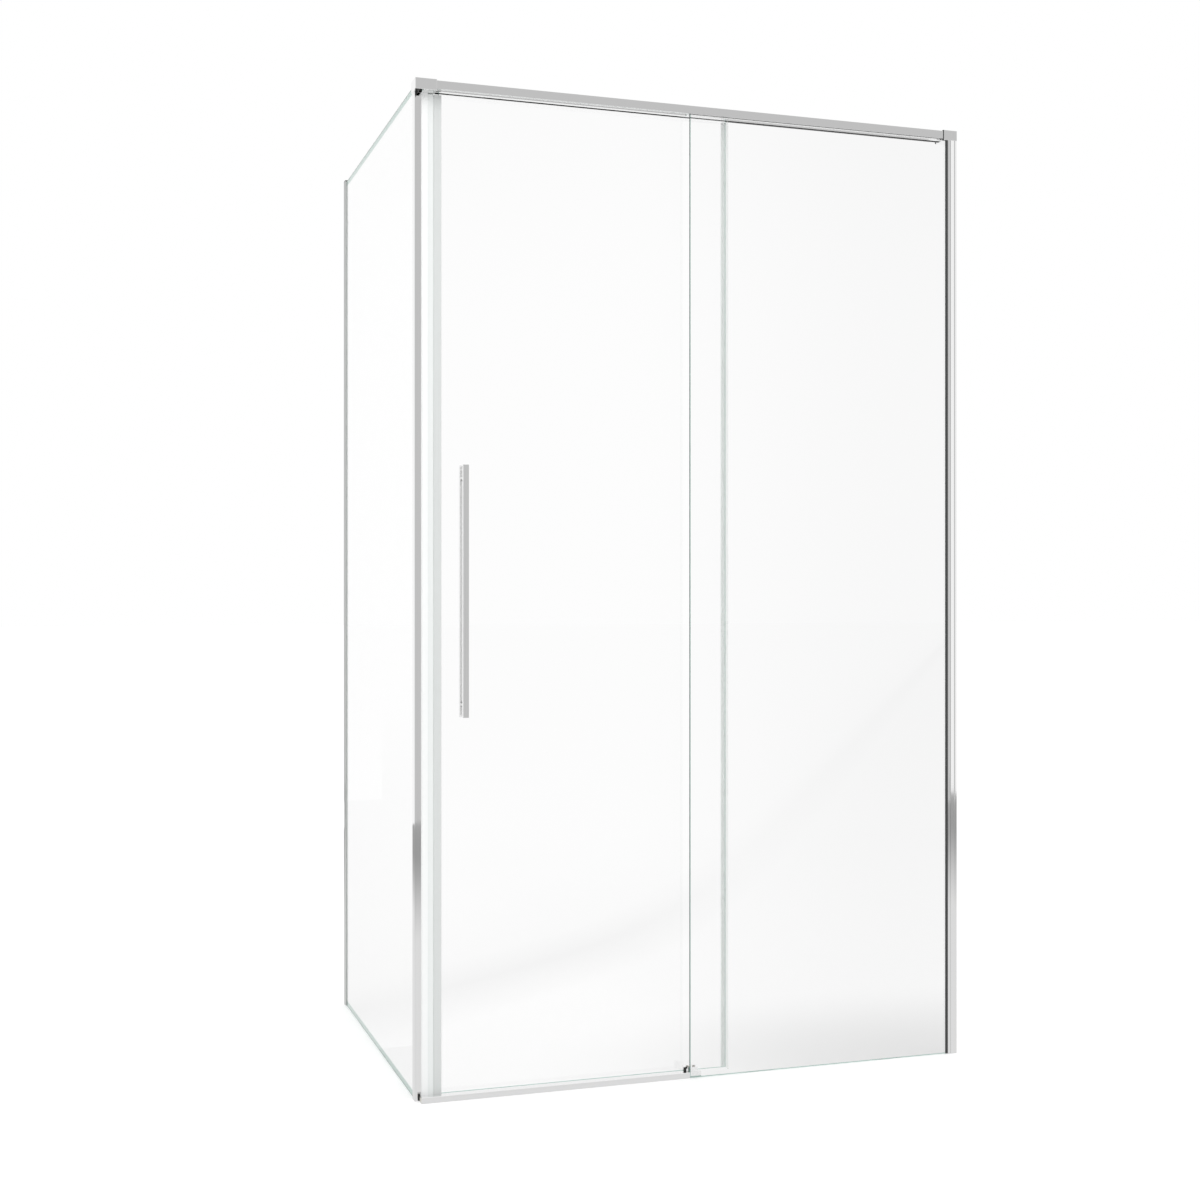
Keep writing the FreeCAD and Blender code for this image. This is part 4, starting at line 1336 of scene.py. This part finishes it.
    def behind_panes(self, nodes: Shading, place: NodeOutputs) -> Node:
        """Grades the floor behind the panes with painted shade: a soft swept line, a dark patch, and
        darker to the right.

        Args:
            nodes: the floor's nodes.
            place: the outputs of the place on the floor.

        Returns:
            The node of the floor's own light, with the painted shade in it.
        """
        sums = partial(nodes.add, "Math")
        across, ahead = (sums((place[axis], middle), operation="SUBTRACT")
                         for axis, middle in zip("XY", self.patch_at))
        squashed = sums((ahead, self.patch_squash), operation="MULTIPLY")
        squares = sums((across, across, sums((squashed, squashed), operation="MULTIPLY")),
                       operation="MULTIPLY_ADD")
        # A dark patch of painted shade behind the panes' right foot.
        patch = self.patch.over(nodes, sums((squares,), operation="SQRT"))
        run, depth = (sums((place[axis], start), operation="SUBTRACT")
                      for axis, start in zip("XY", self.seen_from))
        tone = self.to_the_right.over(nodes, sums((run, depth), operation="DIVIDE"))
        for dark in (*self.line.darken(nodes, place), patch, self.floor_behind_lit):
            tone = sums((tone, dark), operation="SUBTRACT")
        return tone

    def set_surround(self) -> None:
        """Makes the surround white to the eye and in the metal, and plain light on the part."""
        world = bpy.data.worlds.new("white_surround")
        bpy.context.scene.world = world
        nodes = Shading.start(world)
        sums = partial(nodes.add, "Math")
        path = nodes.add("LightPath").outputs
        ray = nodes.add("SeparateXYZ", (nodes.add("TexCoord").outputs["Generated"],)).outputs
        run = sums((ray["X"], sums((ray["Y"], self.least_ahead), operation="MAXIMUM")),
                   operation="DIVIDE")
        level = sums((sums((ray["Z"], self.bright_level), operation="SUBTRACT"),),
                     operation="ABSOLUTE")
        # Seen through the panes, the surround gets painted shade: darker to the right and away from
        # its brightest level.
        behind = sums((self.to_the_right.over(nodes, run), self.off_level.over(nodes, level)),
                      operation="SUBTRACT")
        seen = sums((path["Is Camera Ray"], path["Is Glossy Ray"]), operation="MAXIMUM")
        plain = nodes.add("Mix", {0: seen, 2: self.surround_light, 3: 1.0})
        strength = nodes.add("Mix", {0: path["Is Transmission Ray"], 2: plain, 3: behind})
        background = nodes.add("Background", {"Color": linear(self.white), "Strength": strength})
        nodes.add("OutputWorld", {"Surface": background})


@dataclass
class PhotoCamera:
    """The camera, where the photograph was taken from."""

    place: tuple[float, float, float] = (-1.2649, -3.6069, 0.9827)
    turn: float = -18.22               # degrees to the right of straight ahead
    focal_pixels: float = 1660.2       # focal length in pixels of the photograph
    sensor: float = 36.0
    far_limit: float = 200.0

    def build(self) -> None:
        """Adds the camera and makes it the scene's own."""
        camera = bpy.data.cameras.new("photo_camera")
        camera.sensor_width = self.sensor
        camera.lens = self.focal_pixels * self.sensor / PHOTO_SIDE
        camera.clip_end = self.far_limit
        holder = bpy.data.objects.new("photo_camera", camera)
        bpy.context.scene.collection.objects.link(holder)
        holder.location = self.place
        holder.rotation_euler = (math.pi / 2, 0, math.radians(self.turn))
        bpy.context.scene.camera = holder


def main() -> None:
    """Builds every sub-assembly in order, reports it, and sets up studio and camera."""
    logging.basicConfig(level=logging.INFO, format="%(message)s")
    bpy.context.scene.view_settings.view_transform = "Standard"
    for part in (TopRail(), CornerPost(), WallProfiles(), FixedPanes(), FloorLine(), Door(),
                 Rollers(), Handle()):
        part.build()
        part.report()
    Studio().build()
    PhotoCamera().build()


if __name__ == "__main__":
    main()
